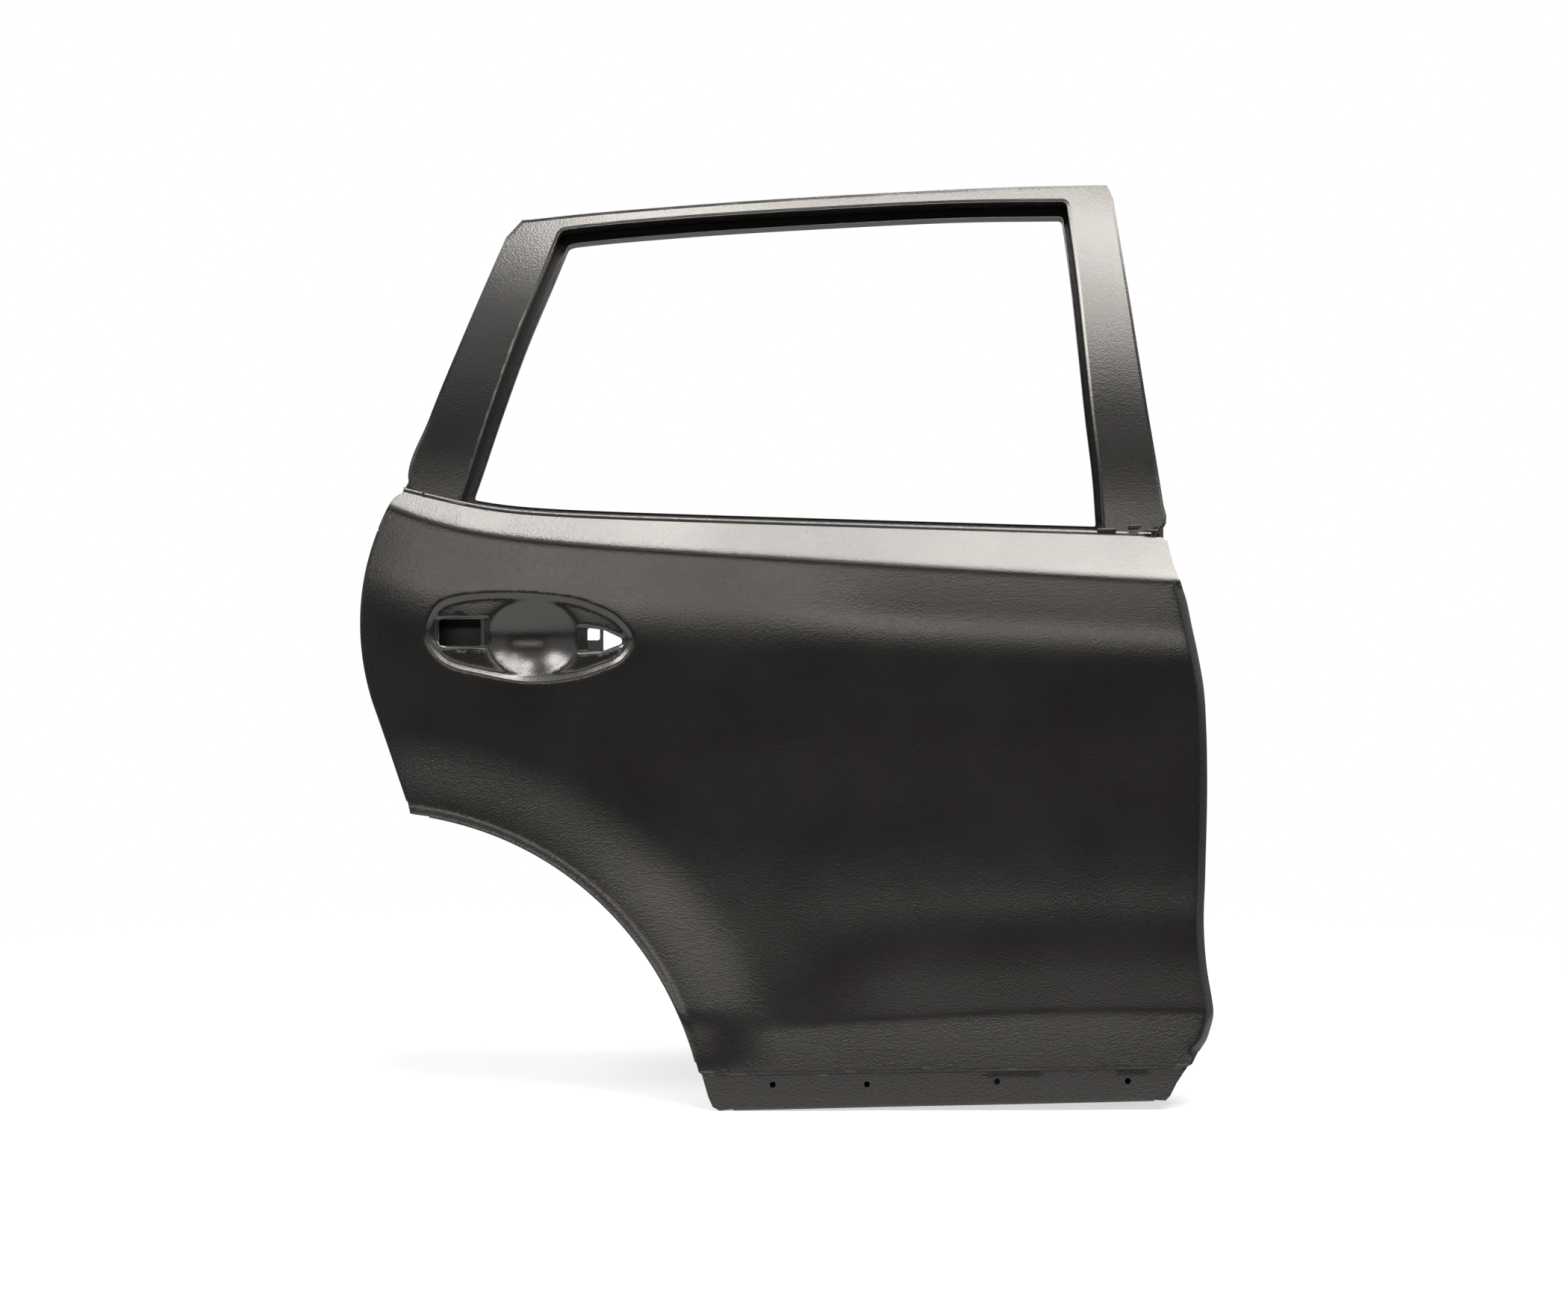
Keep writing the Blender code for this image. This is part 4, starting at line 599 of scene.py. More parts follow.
def body_y(x, z):
    """The skin's depth without the handle recess, its creases rounded."""
    x = np.asarray(x, float)
    z = np.asarray(z, float)
    belt = belt_z(x)
    crease = crease_z(x)
    lower = lower_crease_z(x)
    above = ramp(z - crease, CREASE_ROUND)
    below = ramp(crease - z, CREASE_ROUND)
    depth = BELT_Y + plan_y(x) - (belt - crease - above) * math.tan(math.radians(FACET_LEAN))
    under = ramp(lower - (crease - below), LOWER_CREASE_ROUND)
    share = np.clip((crease - below + under - lower) / (crease - lower), 0, 1)
    rear = smooth((-x - 350) / 270)
    depth -= (crease - lower) * ((1 - rear) * FRONT_LEANS(share) + rear * REAR_LEANS(share))
    sill = sill_step_z(x)
    depth -= np.minimum(under, lower - sill) * math.tan(math.radians(SILL_LEAN))
    depth -= np.maximum(sill - z, 0) * math.tan(math.radians(BAND_LEAN))
    depth += sill_joggle(x, sill - z)
    from_arch = np.hypot(x - ARCH_CENTRE[0], z - ARCH_CENTRE[1]) - ARCH_RADIUS
    above_sill = smooth((z - sill) / FLARE_FADE)
    depth -= above_sill * FLARE * smooth(1 - from_arch / FLARE_WIDTH)
    depth -= above_sill * LIP_FLARE * smooth(1 - from_arch / LIP_FLARE_WIDTH)
    return depth + front_drop(x, z)


def slope_factor(x, z):
    """Turns a thickness into a step along y on the leaning skin."""
    by_x = body_y(x + 0.5, z) - body_y(x - 0.5, z)
    by_z = body_y(x, z + 0.5) - body_y(x, z - 0.5)
    return np.sqrt(1 + by_x**2 + by_z**2)


def behind_skin(points, depth):
    """Points a depth behind the skin's outer face, recess left out."""
    x, z = np.array(points, float).T
    return np.column_stack([x, body_y(x, z) + depth * slope_factor(x, z), z])


def on_skin(points):
    x, z = np.array(points, float).T
    return np.column_stack([x, body_y(x, z) + recess_depth(x, z), z])


class Outline:
    """The skin's outline, clockwise from its front upper corner, and which stretches of it are hemmed."""

    def __init__(self):
        front = side_run(front_edge_x, heights_with(700, 76, 120, (front_crease_height(), 130)))
        sill_rear = sill_rear_end()
        bottom = stretch_along(bottom_z, -48, sill_rear[0][0] + 18, 60)
        arch = arch_run(0, ARCH_LOW_Z, ARCH_REAR_X, 80)
        rear = side_stretch(rear_edge_x, REAR_CORNER[1] + 16, 764, 70)
        rear_top = side_stretch(rear_edge_x, 768, REAR_TOP_Z, 10)
        belt = stretch_along(belt_z, rear_top[-1][0] + BELT_REAR_INSET, BELT_FRONT_X, 140)
        front_top = [(-31, float(belt_z(-31))), *side_stretch(front_edge_x, 750, 706, 9)]
        pieces = (
            ("hem", front), ("plain", SILL_FRONT_END), ("hem", bottom), ("plain", sill_rear),
            ("hem", arch), ("plain", (REAR_CORNER,)), ("hem", rear), ("plain", rear_top),
            ("belt", belt), ("plain", front_top),
        )
        self.points = np.array([p for _, piece in pieces for p in piece], float)
        self.kinds = [kind for kind, piece in pieces for _ in piece]
        self.normals = inward_normals(self.points)
        for run in self.runs("hem"):
            self.normals[run] = inward_normals(self.points[run], closed=False)

    def runs(self, kind):
        """The index lists of the stretches of one kind."""
        groups = groupby(range(len(self.kinds)), key=self.kinds.__getitem__)
        return [list(run) for own, run in groups if own == kind]

    def inset(self, amount):
        return self.points + self.normals * amount

    def fold_line(self):
        """The line where the hem starts to turn, and the plain edge elsewhere."""
        away = np.array([HEM_RADIUS if kind == "hem" else 0 for kind in self.kinds])
        return self.inset(away[:, None])


def between(loops, points, margin=0.0):
    """Which of the points lie inside the first loop and outside the others."""
    keep = inside_of(loops[0], *points.T) > margin
    for hole in loops[1:]:
        keep &= inside_of(hole, *points.T) < -margin
    return keep


def graded_points(loops, near, grades):
    """Points of staggered grids between the loops, closest together beside the near points."""
    tree = KDTree(len(near))
    for i, (x, z) in enumerate(near):
        tree.insert((x, z, 0), i)
    tree.balance()
    low = loops[0].min(axis=0)
    high = loops[0].max(axis=0)
    found = []
    nearest = 0.0
    for spacing, reach in grades:
        grid = []
        for row, z in enumerate(np.arange(low[1], high[1], spacing * 0.87)):
            for x in np.arange(low[0] + (row % 2) * spacing / 2, high[0], spacing):
                gap = tree.find((x, z, 0))[2]
                if max(nearest, 0.6 * spacing) < gap <= reach:
                    grid.append((x, z))
        nearest = reach
        grid = np.array(grid)
        if len(grid):
            found += list(grid[between(loops, grid)])
    return found


class Sheet:
    """One pressed sheet, grown from rings, strips and triangulated regions, then thickened."""

    def __init__(self):
        self.points = []
        self.faces = []

    def ring(self, points):
        start = len(self.points)
        self.points.extend(np.asarray(points, float))
        return list(range(start, len(self.points)))

    def strip(self, first, second, closed=False):
        pairs = list(zip(first, second))
        if closed:
            pairs.append(pairs[0])
        for (a, b), (c, d) in zip(pairs, pairs[1:]):
            self.faces.append((a, c, d, b))

    def grow(self, ring, rows, closed=False):
        """Adds rows of points, each joined by a strip to the one before. Returns the last of them."""
        for row in rows:
            previous = ring
            ring = self.ring(row)
            self.strip(previous, ring, closed)
        return ring

    def region(self, outline, holes, lines, lift, grades=GRADES):
        """Triangles between an outline and its holes that keep the given lines. Returns the rings."""
        loops = [np.asarray(loop, float) for loop in (outline, *holes)]
        parts = [*loops, *(np.asarray(line, float) for line in lines)]
        starts = [0, *accumulate(len(part) for part in parts)]
        flat = [p for part in parts for p in part]
        edges = []
        for number, (at, part) in enumerate(zip(starts, parts)):
            steps = range(len(part) if number < len(loops) else len(part) - 1)
            edges += [(at + i, at + (i + 1) % len(part)) for i in steps]
        flat += graded_points(loops, flat, grades)
        made = delaunay_2d_cdt([Vector(p) for p in flat], edges, [], 0, 1e-5)
        where = np.array([tuple(p) for p in made[0]])
        middles = where[np.array(made[2])].mean(axis=1)
        faces = [face for face, kept in zip(made[2], between(loops, middles, SLIVER)) if kept]
        used = sorted({i for face in faces for i in face})
        index = dict(zip(used, self.ring(lift(where[used]))))
        self.faces += [tuple(index[i] for i in face) for face in faces]
        origin = {source: out for out, sources in enumerate(made[3]) for source in sources}
        return [[index.get(origin[at + i]) for i in range(len(loop))] for at, loop in zip(starts, loops)]

    def build(self, name, coat, node, facing, thickness=SKIN):
        """Makes the object: the sheet is its face towards the facing vector, and the metal lies behind it."""
        points = (np.array(self.points) - np.array(ORIGIN)) * MM
        made = mesh_object(name, [tuple(p) for p in points], self.faces, coat)
        mesh = made.data
        select_only(made)
        bpy.ops.object.mode_set(mode="EDIT")
        bpy.ops.mesh.select_all(action="SELECT")
        bpy.ops.mesh.normals_make_consistent(inside=False)
        bpy.ops.object.mode_set(mode="OBJECT")
        towards = sum((face.normal * face.area for face in mesh.polygons), Vector())
        if towards.dot(Vector(facing)) < 0:
            mesh.flip_normals()
        solidify = made.modifiers.new("thickness", "SOLIDIFY")
        solidify.thickness = thickness * MM
        solidify.offset = -1
        solidify.use_even_offset = True
        solidify.use_quality_normals = True
        bpy.ops.object.modifier_apply(modifier=solidify.name)
        bpy.ops.object.shade_smooth_by_angle(angle=SMOOTH_ANGLE)
        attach(made, "root")
        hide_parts(node)
        return made


def mesh_object(name, points, faces, coat):
    mesh = bpy.data.meshes.new(name)
    mesh.from_pydata(points, [], faces)
    mesh.materials.append(coat)
    made = bpy.data.objects.new(name, mesh)
    bpy.context.scene.collection.objects.link(made)
    return made


def select_only(made):
    bpy.ops.object.select_all(action="DESELECT")
    made.select_set(True)
    bpy.context.view_layer.objects.active = made


def offsets(loop, away):
    """Closed lines at several distances inside a loop."""
    return [closed_line(inset(loop, amount)) for amount in away]


def bend_line(line_z, start, end, up):
    """A line along a bend of the skin, at an offset up from it, with a point about every LINE_SPACING."""
    return stretch_along(line_z, start, end, int(abs(end - start) / LINE_SPACING) + 1, up)


def fold(radius, degrees):
    """Steps round a fold: how far each still lies inside the fold's edge, and how far behind the face."""
    turns = [math.radians(a) for a in degrees]
    return [(radius * (1 - math.sin(a)), radius * (1 - math.cos(a))) for a in turns]


def skin_lines(outline):
    """The lines along which the skin bends: hem border, creases, sill joggle, recess, seats and bowl."""
    hems = outline.runs("hem")
    lines = [outline.inset(BORDER)[run] for run in hems]
    lines += [outline.inset(DROP_WIDTH + away)[hems[0]] for away in DROP_LINES]
    lines += [bend_line(crease_z, -30 - abs(up) / 4, -1048, up) for up in CREASE_LINES]
    lines += [bend_line(lower_crease_z, 0, ARCH_LOW_X + 100, up) for up in LOWER_CREASE_LINES]
    lines += [bend_line(sill_step_z, -21 - down / 2, ARCH_LOW_X + 26, -down) for down in SILL_STEP_LINES]
    lines += offsets(RECESS_LOOP, RECESS_LINES)
    for seat in SEATS:
        lines += offsets(seat, SEAT_LINES)
    across, up = BOWL_HALF
    lines += [closed_line(ellipse(BOWL, scale * across, scale * up, 56)) for scale in BOWL_LINES]
    return lines


def outer_skin(coat):
    """The skin: a drawn panel, hemmed round its edge, with a turned-in belt and a recess for the handle."""
    outline = Outline()
    sheet = Sheet()
    holes = list(HANDLE_HOLES) + [circle(centre, CLIP_HOLE, 28) for centre in CLIP_HOLES]
    lines = skin_lines(outline)
    edge = sheet.region(outline.fold_line(), holes, lines, on_skin)[0]
    hem = [*fold(HEM_RADIUS, range(20, 181, 20)), (4.5, 2 * HEM_RADIUS), (HEM_RETURN, 2 * HEM_RADIUS)]
    for run in outline.runs("hem"):
        rows = [behind_skin(outline.inset(away)[run], depth) for away, depth in hem]
        sheet.grow([edge[i] for i in run], rows)
    for run in outline.runs("belt"):
        start = on_skin(outline.points[run])
        sheet.grow([edge[i] for i in run], [start + np.array((0, *step)) for step in BELT_PROFILE])
    return sheet.build("door_skin", coat, "outer_panel", (0, -1, 0))


def frame_outer_run(inward):
    """The window frame's outer edge, up the front sash, along the header and down the rear sash."""
    front_low = side_stretch(front_sash_outer_x, *OUTER_FRONT_LOW, FRONT_LOW_COUNT, -inward)
    front = side_stretch(front_sash_outer_x, *OUTER_FRONT_RUN, 60, -inward)
    header = stretch_along(header_top_z, *OUTER_HEADER_RUN, 80, -inward)
    rear = side_stretch(rear_sash_outer_x, *OUTER_REAR_RUN, 50, inward)
    rear_low = side_stretch(rear_sash_outer_x, *OUTER_REAR_LOW, REAR_LOW_COUNT, inward)
    return np.array([*front_low, *front, *header, *rear, *rear_low])


def frame_inner_run():
    """The window frame's inner edge, up the rear sash, along the header and down the front sash."""
    rear = side_stretch(rear_sash_inner_x, *INNER_REAR_RUN, 60)
    header = stretch_along(header_bottom_z, *INNER_HEADER_RUN, 80)
    front = side_stretch(front_sash_inner_x, *INNER_FRONT_RUN, 60)
    rear_corner = corner(*rear[-2:], *header[:2], 7)
    front_corner = corner(*header[-2:], *front[:2], 7)
    return np.array([*rear, *rear_corner, *header, *front_corner, *front])


def window_frame_skin(coat):
    """The frame's outer pressing: a flat face with both its edges folded back round a small radius."""
    sheet = Sheet()
    outer = frame_outer_run(0)
    inner = frame_inner_run()
    loop = np.vstack([inset(run, FRAME_FOLD_RADIUS, closed=False) for run in (outer, inner)])
    edge = sheet.region(loop, [], [], lambda points: on_frame(points, 0), FRAME_GRADES)[0]
    profile = [*fold(FRAME_FOLD_RADIUS, (22.5, 45, 67.5, 90)), (0, FRAME_FOLD)]
    for run, ring in ((outer, edge[: len(outer)]), (inner, edge[len(outer) :])):
        sheet.grow(ring, [on_frame(inset(run, away, closed=False), depth) for away, depth in profile])
    return sheet.build("window_frame_skin", coat, "window_frame_outer", (0, -1, 0))


def sight_loop():
    """The see-through opening of the inner pressing, clockwise from the front lower corner."""
    sill = stretch_along(belt_z, *SIGHT_SILL_RUN, 120, WAIST_ABOVE_BELT)
    rear = side_stretch(rear_sash_inner_x, *SIGHT_REAR_RUN, 60, LIP_REAR)
    header = stretch_along(header_bottom_z, *SIGHT_HEADER_RUN, 90, -LIP_HEADER)
    front = side_stretch(front_sash_inner_x, *SIGHT_FRONT_RUN, 70, -LIP_FRONT)
    return joined([sill, rear, header, front], [5, 4, 4, 4])


def box_loop(side, bottom, arch, sash, header):
    """A loop inside the door's edge, at its own distance from each side."""
    front = [(min(x, HINGE_X), z) for x, z in side_stretch(front_edge_x, *BOX_FRONT_RUN, 56, -side)]
    sill = stretch_along(bottom_z, *BOX_SILL_RUN, 40, bottom)
    wheel = arch_run(arch, BOX_ARCH_LOW_Z, BOX_ARCH_REAR_X, 50)
    rear = [(max(x, LATCH_X), z) for x, z in side_stretch(rear_edge_x, *BOX_REAR_RUN, 40, side)]
    rear_sash = side_stretch(rear_sash_outer_x, *BOX_REAR_SASH_RUN, 30, sash)
    top = stretch_along(header_top_z, *BOX_HEADER_RUN, 60, -header)
    front_sash = side_stretch(front_sash_outer_x, *BOX_FRONT_SASH_RUN, 40, -sash)
    rear_link = np.linspace(rear[-1], rear_sash[0], 12)[1:-1]
    front_link = np.linspace(front_sash[-1], front[0], 16)[1:-1]
    runs = [front, sill, wheel, [*rear, *rear_link, *rear_sash], top, [*front_sash, *front_link]]
    return joined(runs, [8, 8, 6, 8, 8, 0])


def pressing_edge(outline):
    """The inner pressing's own edge: inside the hem, then just behind the window frame's outer fold."""
    inside = outline.inset(FLANGE_EDGE)
    belt = outline.runs("belt")[0]
    frame_part = frame_outer_run(FRAME_EDGE_INSET)[FRONT_LOW_COUNT:-REAR_LOW_COUNT][::-1]
    return np.array([*inside[: belt[0]], *frame_part, *inside[belt[-1] + 2 :]])


def flange_lift(outline):
    """The flange lies behind the skin below the belt, closest in the hem, and behind the frame above."""
    runs = [outline.points[run] for run in outline.runs("hem")]

    def lift(points):
        points = np.asarray(points, float)
        x, z = points.T
        gaps = [in_blocks(lambda a, b: distance_to(a, b, run[:-1], run[1:]), x, z) for run in runs]
        away = np.min(gaps, axis=0)
        depth = SKIN + FLANGE_GAP + INNER + FLANGE_DROP * smooth((away - BORDER) / FLANGE_STEP)
        low = behind_skin(points, depth)
        high = on_frame(points, FRAME_FOLD + GAP + INNER)
        above = smooth((z - belt_z(x) + 44) / 38)[:, None]
        return low * (1 - above) + high * above

    return lift


def pockets():
    """The rim and the floor's edge of each recessed field round an opening of the inner panel."""
    found = []
    for opening, radius in ((SERVICE_OPENING, 40), (REAR_OPENING, 32)):
        rim = rounded(inset(opening, -POCKET_BORDER - POCKET_WALL), radius, 14)
        found.append((rim, rounded(inset(opening, -POCKET_BORDER), radius - POCKET_WALL, 14)))
    rim = SPEAKER_HOLE + 2 * (POCKET_BORDER + POCKET_WALL)
    found.append((circle(SPEAKER_CENTRE, rim, 72), circle(SPEAKER_CENTRE, rim - 2 * POCKET_WALL, 72)))
    return found


def plateau_lift(points):
    """The inboard face of the door, parallel to the glass, with its fields set in by rounded walls."""
    points = np.asarray(points, float)
    lifted = on_frame(points, RING_DEPTH + INNER)
    for rim, _ in pockets():
        lifted[:, 1] -= POCKET_DEPTH * rounded_step(inside_of(rim, *points.T) / POCKET_WALL, 0.3)
    return lifted


def bend(start, middle, end, count=BOX_FILLET_STEPS):
    """Rows of points that round the fold between two faces."""
    steps = np.linspace(0, 1, count + 2)[1:]
    return [(1 - t) ** 2 * start + 2 * t * (1 - t) * middle + t * t * end for t in steps]


def inner_pressing(coat):
    """The inner pressing: hem flange, side walls with rounded folds, field with its openings, window ring."""
    outline = Outline()
    lift = flange_lift(outline)
    sheet = Sheet()
    foot = box_loop(**BOX_FOOT)
    top = box_loop(**BOX_TOP)
    reach = FOOT_FILLET * (1 - smooth((foot[:, 1] - HEADER_START) / 60))
    corner_gap = np.hypot(foot[:, 0] - SILL_FRONT_END[2][0], foot[:, 1] - SILL_FRONT_END[1][1])
    foot_reach = inset(foot, -reach * smooth((corner_gap - 40) / 30))
    flange = sheet.region(pressing_edge(outline), [foot_reach], [], lift, INNER_GRADES)
    openings = [rounded(SERVICE_OPENING, 30, 14), rounded(REAR_OPENING, 24, 12)]
    openings.append(circle(SPEAKER_CENTRE, SPEAKER_HOLE, 72))
    lines = [closed_line(loop) for pocket in pockets() for loop in pocket]
    window = sight_loop()
    shoulder = inset(top, BOX_FILLET / 2)
    field = sheet.region(shoulder, [window, *openings], lines, plateau_lift, INNER_GRADES)
    low = lift(foot)
    high = plateau_lift(top)
    rise = high - low
    length = np.linalg.norm(rise, axis=1)[:, None]
    step = rise / length * np.minimum(BOX_FILLET, 0.3 * length)
    foot_rows = bend(lift(foot_reach), low, low + step)
    top_rows = [high - step, *bend(high - step, high, plateau_lift(shoulder))[:-1]]
    sheet.strip(sheet.grow(flange[1], [*foot_rows, *top_rows], closed=True), field[0], closed=True)
    back = RING_RETURN + (HEADER_RETURN - RING_RETURN) * smooth((window[:, 1] - HEADER_START) / 50)
    edge = on_frame(window, RING_DEPTH + INNER)
    fold_edge = on_frame(inset(window, 0.9), RING_DEPTH + INNER)
    near = on_frame(inset(window, 0.9), RING_DEPTH - 0.6)
    turned = on_frame(inset(window, 1.0), RING_DEPTH - back)
    sheet.grow(field[1], [*bend(edge, fold_edge, near, 2), turned], closed=True)
    panel = sheet.build("inner_pressing", coat, "inner_panel", (0, 1, 0), INNER)
    wall_openings(panel)
    return panel


def wall_openings(panel):
    """Cuts the bolt holes, the check's slot, the harness hole and the latch's slot through the side walls."""
    holes = [(HINGE_X, *HARNESS_HOLE_PLACE, HARNESS_HOLE)]
    for middle, spacing, hole in FASTENINGS:
        holes += [(HINGE_X, HINGE_Y, middle + side * spacing / 2, hole) for side in (-1, 1)]
    holes += [(LATCH_X, y, LATCH_Z + up, LATCH_SCREW_HOLE) for y, up in LATCH_SCREWS]
    slots = [(HINGE_X, HINGE_Y, CHECK_Z, *CHECK_SLOT), (LATCH_X, LATCH_Y, LATCH_Z, *LATCH_SLOT)]
    for x, y, z, across in holes:
        bpy.ops.mesh.primitive_cylinder_add(
            vertices=32, radius=across / 2 * MM, depth=CUTTER_LENGTH * MM, location=to_scene((x, y, z)),
            rotation=(0, math.pi / 2, 0),
        )
        cut(panel, bpy.context.active_object)
    for x, y, z, width, height in slots:
        size = [length * MM for length in (CUTTER_LENGTH, width, height)]
        bpy.ops.mesh.primitive_cube_add(size=1, location=to_scene((x, y, z)), scale=size)
        cut(panel, bpy.context.active_object)
    bpy.ops.object.shade_smooth_by_angle(angle=SMOOTH_ANGLE)


def cut(panel, cutter):
    select_only(panel)
    opening = panel.modifiers.new("opening", "BOOLEAN")
    opening.operation = "DIFFERENCE"
    opening.solver = "EXACT"
    opening.object = cutter
    bpy.ops.object.modifier_apply(modifier=opening.name)
    bpy.data.objects.remove(cutter, do_unlink=True)


def to_scene(point):
    """A point in metres from door coordinates."""
    return (Vector(point) - Vector(ORIGIN)) * MM


# Small pressed tabs and studs where the window frame meets the belt: middle, size and turn about the depth
BELT_TABS = (
    ("front_belt_tab", (-104.0, 70.0, 764.5), (25.0, 5.0, 6.5), 0.0),
    ("front_belt_hook", (-66.0, 66.0, 770.0), (15.0, 4.0, 4.6), -4.0),
    ("front_belt_lip_end", (-44.0, 64.0, 764.0), (16.0, 7.0, 4.0), 2.0),
    ("rear_belt_tab", (-1006.0, 74.0, 806.0), (17.0, 5.0, 5.0), 12.0),
    ("rear_belt_lip_end", (-975.0, 70.0, 800.0), (22.0, 6.0, 4.4), 12.0),
)
BELT_STUDS = (("front_belt_stud", (-37.0, 62.0, 770.0)), ("rear_belt_stud", (-1020.0, 66.0, 815.0)))
STUD_RADIUS = 2.2
TAB_ROUNDING = 1.2


def belt_details(coat):
    for name, middle, size, turn in BELT_TABS:
        bpy.ops.mesh.primitive_cube_add(size=1)
        tab = bpy.context.active_object
        tab.name = name
        tab.scale = [length * MM for length in size]
        tab.rotation_euler = (0, math.radians(turn), 0)
        tab.location = to_scene(middle)
        bpy.ops.object.transform_apply(location=True, rotation=True, scale=True)
        rounding = tab.modifiers.new("rounding", "BEVEL")
        rounding.width = TAB_ROUNDING * MM
        rounding.segments = 3
        bpy.ops.object.modifier_apply(modifier=rounding.name)
        finish_piece(tab, coat)
    for name, middle in BELT_STUDS:
        bpy.ops.mesh.primitive_uv_sphere_add(
            segments=20, ring_count=12, radius=STUD_RADIUS * MM, location=to_scene(middle),
        )
        stud = bpy.context.active_object
        stud.name = name
        bpy.ops.object.transform_apply(location=True, rotation=True, scale=True)
        finish_piece(stud, coat)


def finish_piece(piece, coat):
    piece.data.materials.append(coat)
    select_only(piece)
    bpy.ops.object.shade_smooth_by_angle(angle=SMOOTH_ANGLE)
    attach(piece, "root")


def colour(code):
    """A linear colour from its sRGB hex code."""
    parts = [int(code[i : i + 2], 16) / 255 for i in (1, 3, 5)]
    return (*[p / 12.92 if p <= 0.04045 else ((p + 0.055) / 1.055) ** 2.4 for p in parts], 1)


def add_node(tree, kind, settings=None, inputs=None):
    """Adds a shader node, with its settings and with values or links for its inputs."""
    made = tree.nodes.new("ShaderNode" + kind)
    for name, value in (settings or {}).items():
        setattr(made, name, value)
    for name, value in (inputs or {}).items():
        if isinstance(value, bpy.types.NodeSocket):
            tree.links.new(value, made.inputs[name])
        else:
            made.inputs[name].default_value = value
    return made


def plain_coat(name, values):
    """A material with values on its shader's own sockets."""
    made = bpy.data.materials.new(name)
    made.use_nodes = True
    inputs = made.node_tree.nodes["Principled BSDF"].inputs
    for socket, value in values.items():
        inputs[socket].default_value = value
    return made


def electrocoat(name, code, roughness, orange_peel=0.2):
    """Cathodic electrocoat: black epoxy dip paint, about 0.02 mm thick, oven-cured over phosphated steel.

    The eye gets a satin sheen, a faint orange peel about 1.5 mm across, and clouds where the film is thicker.
    """
    made = plain_coat(name, {"Base Color": colour(code), "IOR": 1.5})
    tree = made.node_tree
    surface = tree.nodes["Principled BSDF"]
    place = add_node(tree, "TexCoord").outputs["Object"]
    clouds = add_node(tree, "TexNoise", inputs={"Vector": place, "Scale": 9.0, "Detail": 3.0})
    grain = add_node(tree, "TexNoise", inputs={"Vector": place, "Scale": 420.0, "Detail": 2.0})
    limits = {"From Min": 0.3, "From Max": 0.7, "To Min": roughness - 0.015, "To Max": roughness + 0.02}
    film = add_node(tree, "MapRange", inputs={"Value": clouds.outputs["Fac"], **limits})
    relief = {"Height": grain.outputs["Fac"], "Strength": orange_peel, "Distance": 0.001}
    peel = add_node(tree, "Bump", inputs=relief)
    tree.links.new(film.outputs["Result"], surface.inputs["Roughness"])
    tree.links.new(peel.outputs["Normal"], surface.inputs["Normal"])
    return made


def sealant(name):
    """Anti-flutter mastic: pumped rubber sealant, baked with the paint, and dull."""
    return plain_coat(name, {"Base Color": colour("#5c584f"), "Roughness": 0.8})


def zinc_plate(name):
    """Electroplated zinc on cold-headed weld nuts: a grey metal with a soft shine."""
    return plain_coat(name, {"Base Color": colour("#9c9c99"), "Metallic": 1.0, "Roughness": 0.42})


def finish_nodes(coats):
    """Gives each CAD node the better finish of its slot."""
    for part in frame["record"]["subparts"]:
        node = frame["nodes"][part["node"]]
        node.data.materials.clear()
        node.data.materials.append(coats[part["material_slot"]])


# Lamps: place, aim, width and height in metres, and radiance
LAMPS = (
    ("key_rear", (-0.86, -1.12, 2.72), (-0.72, 0.0, 0.45), 0.58, 0.7, 27.0),
    ("key_front", (0.0, -1.15, 2.65), (-0.3, 0.0, 0.45), 0.9, 0.75, 20.0),
    ("front_patch", (0.3, -1.95, 2.45), (-0.1, 0.0, 0.6), 0.5, 0.6, 14.0),
    ("side_rear", (-2.45, -0.95, 1.85), (-0.85, 0.0, 0.1), 0.8, 1.0, 22.0),
    ("side_front", (0.75, -0.95, 1.85), (-0.85, 0.0, 0.1), 0.8, 1.0, 22.0),
    ("window", (-0.75, -4.4, 1.25), (-0.6, 0.0, 0.9), 4.2, 0.44, 8.4),
)


def put(made, place, aim):
    """Puts a lamp or the camera at its place, facing its aim."""
    bpy.context.scene.collection.objects.link(made)
    made.location = place
    made.rotation_mode = "QUATERNION"
    made.rotation_quaternion = (Vector(aim) - Vector(place)).to_track_quat("-Z", "Y")


def lamp(name, place, aim, width, height, radiance):
    light = bpy.data.lights.new(name, "AREA")
    light.shape = "RECTANGLE"
    light.size = width
    light.size_y = height
    light.energy = radiance * math.pi * width * height
    light.color = colour("#fffaf3")[:3]
    put(bpy.data.objects.new(name, light), place, aim)


def empty_tree(made):
    """The node tree of a material or world, without its first nodes."""
    made.use_nodes = True
    made.node_tree.nodes.clear()
    return made.node_tree


def shader(tree, kind, code, **values):
    return add_node(tree, kind, inputs={"Color": colour(code), **values}).outputs[0]


def mix(tree, share, first, second):
    return add_node(tree, "MixShader", inputs={"Fac": share, 1: first, 2: second}).outputs[0]


def either(tree, first, second):
    return add_node(tree, "Math", {"operation": "MAXIMUM"}, {0: first, 1: second}).outputs[0]


def world():
    """White for the camera and in reflections, softer as a source of light."""
    made = bpy.data.worlds.new("studio_white")
    bpy.context.scene.world = made
    tree = empty_tree(made)
    path = add_node(tree, "LightPath").outputs
    seen = either(tree, path["Is Glossy Ray"], path["Is Transmission Ray"])
    seen = either(tree, seen, path["Is Camera Ray"])
    soft = shader(tree, "Background", "#ffffff", Strength=0.4)
    white = shader(tree, "Background", "#ffffff", Strength=1.0)
    add_node(tree, "OutputWorld", inputs={"Surface": mix(tree, seen, soft, white)})


def flat_object(name, corners, coat):
    made = mesh_object(name, corners, [(0, 1, 2, 3)], coat)
    return made


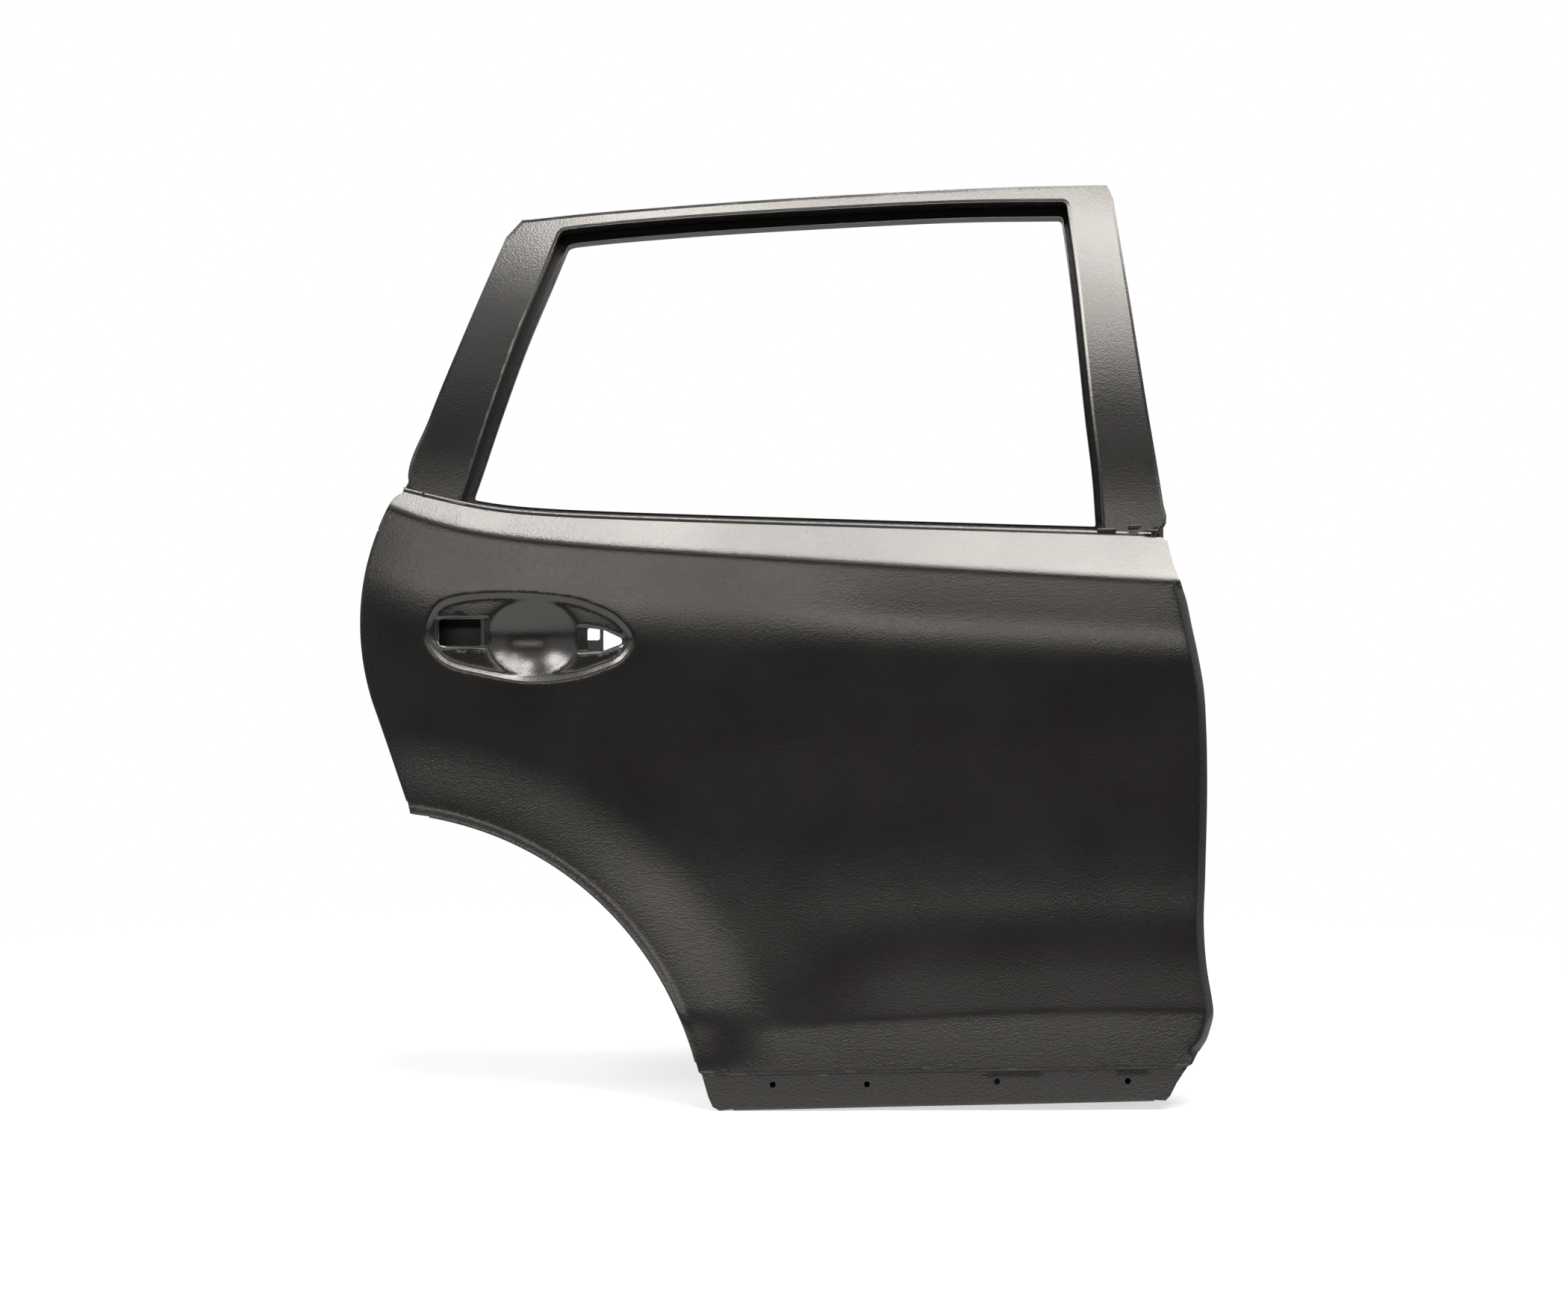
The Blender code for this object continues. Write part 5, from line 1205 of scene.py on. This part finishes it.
# Floor, just below the sill: its size, and distances over which its paper whitens and over which, in
# reflections, it turns to painted shade of the unlit room
FLOOR_Z = -0.5187
FLOOR_HALF = 20.0
FLOOR_MIDDLE = (-0.54, 0.0, FLOOR_Z)
FLOOR_WHITENS = (1.25, 2.2)
ROOM_MIDDLE = (-0.54, 2.6, FLOOR_Z)
FLOOR_DARKENS = (4.4, 5.3)


def floor_paint():
    """White studio paper. It keeps the door's shadow nearby and runs into the white behind it further off. To
    reflections and bounced light it is pale near the door and dark far in front of it: painted shade of the
    unlit room.
    """
    made = bpy.data.materials.new("studio_paper")
    tree = empty_tree(made)
    place = add_node(tree, "TexCoord").outputs["Object"]
    camera_ray = add_node(tree, "LightPath").outputs["Is Camera Ray"]

    def beyond(middle, near, far):
        """A share that rises from nought to one between two distances from a point."""
        away = add_node(tree, "VectorMath", {"operation": "DISTANCE"}, {0: place, 1: middle})
        values = {"Value": away.outputs["Value"], "From Min": near, "From Max": far}
        share = add_node(tree, "MapRange", {"interpolation_type": "SMOOTHSTEP"}, values)
        return share.outputs["Result"]

    paper = shader(tree, "BsdfDiffuse", "#aaaaaa")
    glow = shader(tree, "Emission", "#ffffff", Strength=0.62)
    near = add_node(tree, "AddShader", inputs={0: paper, 1: glow}).outputs[0]
    white = shader(tree, "Emission", "#ffffff", Strength=1.0)
    seen = mix(tree, beyond(FLOOR_MIDDLE, *FLOOR_WHITENS), near, white)
    pale = shader(tree, "BsdfDiffuse", "#f4f4f4")
    # Painted shade: far in front, rays other than the camera's see the paper dark, standing in for the unlit
    # room
    dark = shader(tree, "BsdfDiffuse", "#1c1c1c")
    reflected = mix(tree, beyond(ROOM_MIDDLE, *FLOOR_DARKENS), pale, dark)
    whole = mix(tree, camera_ray, reflected, seen)
    add_node(tree, "OutputMaterial", inputs={"Surface": whole})
    return made


def painted_room_shade():
    """Painted shade: a dark sheet standing in for the unlit end of the studio, which the upright part of the
    skin reflects.
    """
    return plain_coat("painted_room_shade", {"Base Color": colour("#161616"), "Roughness": 1.0})


def studio():
    world()
    corners = [(FLOOR_HALF * x, FLOOR_HALF * y, FLOOR_Z) for x, y in ((-1, -1), (1, -1), (1, 1), (-1, 1))]
    flat_object("floor", corners, floor_paint())
    # A dark sheet far in front, unseen by the camera and casting no shadow: painted shade of the unlit room
    # for the skin to reflect
    corners = [(-4, -5, FLOOR_Z), (3, -5, FLOOR_Z), (3, -5, 3.6), (-4, -5, 3.6)]
    wall = flat_object("far_wall", corners, painted_room_shade())
    wall.visible_camera = False
    wall.visible_shadow = False
    for settings in LAMPS:
        lamp(*settings)


def camera():
    seen = bpy.data.cameras.new("camera")
    seen.lens = 67.8
    seen.sensor_width = 36
    seen.clip_end = 100
    made = bpy.data.objects.new("camera", seen)
    put(made, (-0.537, -3.948, 0.259), (-0.537, -0.052, 0.089))
    bpy.context.scene.camera = made


def main():
    coats = {
        "skin_coat": electrocoat("skin_coat", "#0c0b0a", 0.23),
        "inner_coat": electrocoat("inner_coat", "#0b0a0a", 0.36),
        "deep_coat": electrocoat("deep_coat", "#0a0909", 0.4),
        "mastic": sealant("mastic"),
        "zinc": zinc_plate("zinc"),
    }
    finish_nodes(coats)
    outer_skin(coats["skin_coat"])
    window_frame_skin(coats["skin_coat"])
    inner_pressing(coats["inner_coat"])
    belt_details(coats["skin_coat"])
    studio()
    camera()
    bpy.context.scene.view_settings.view_transform = "Standard"


main()
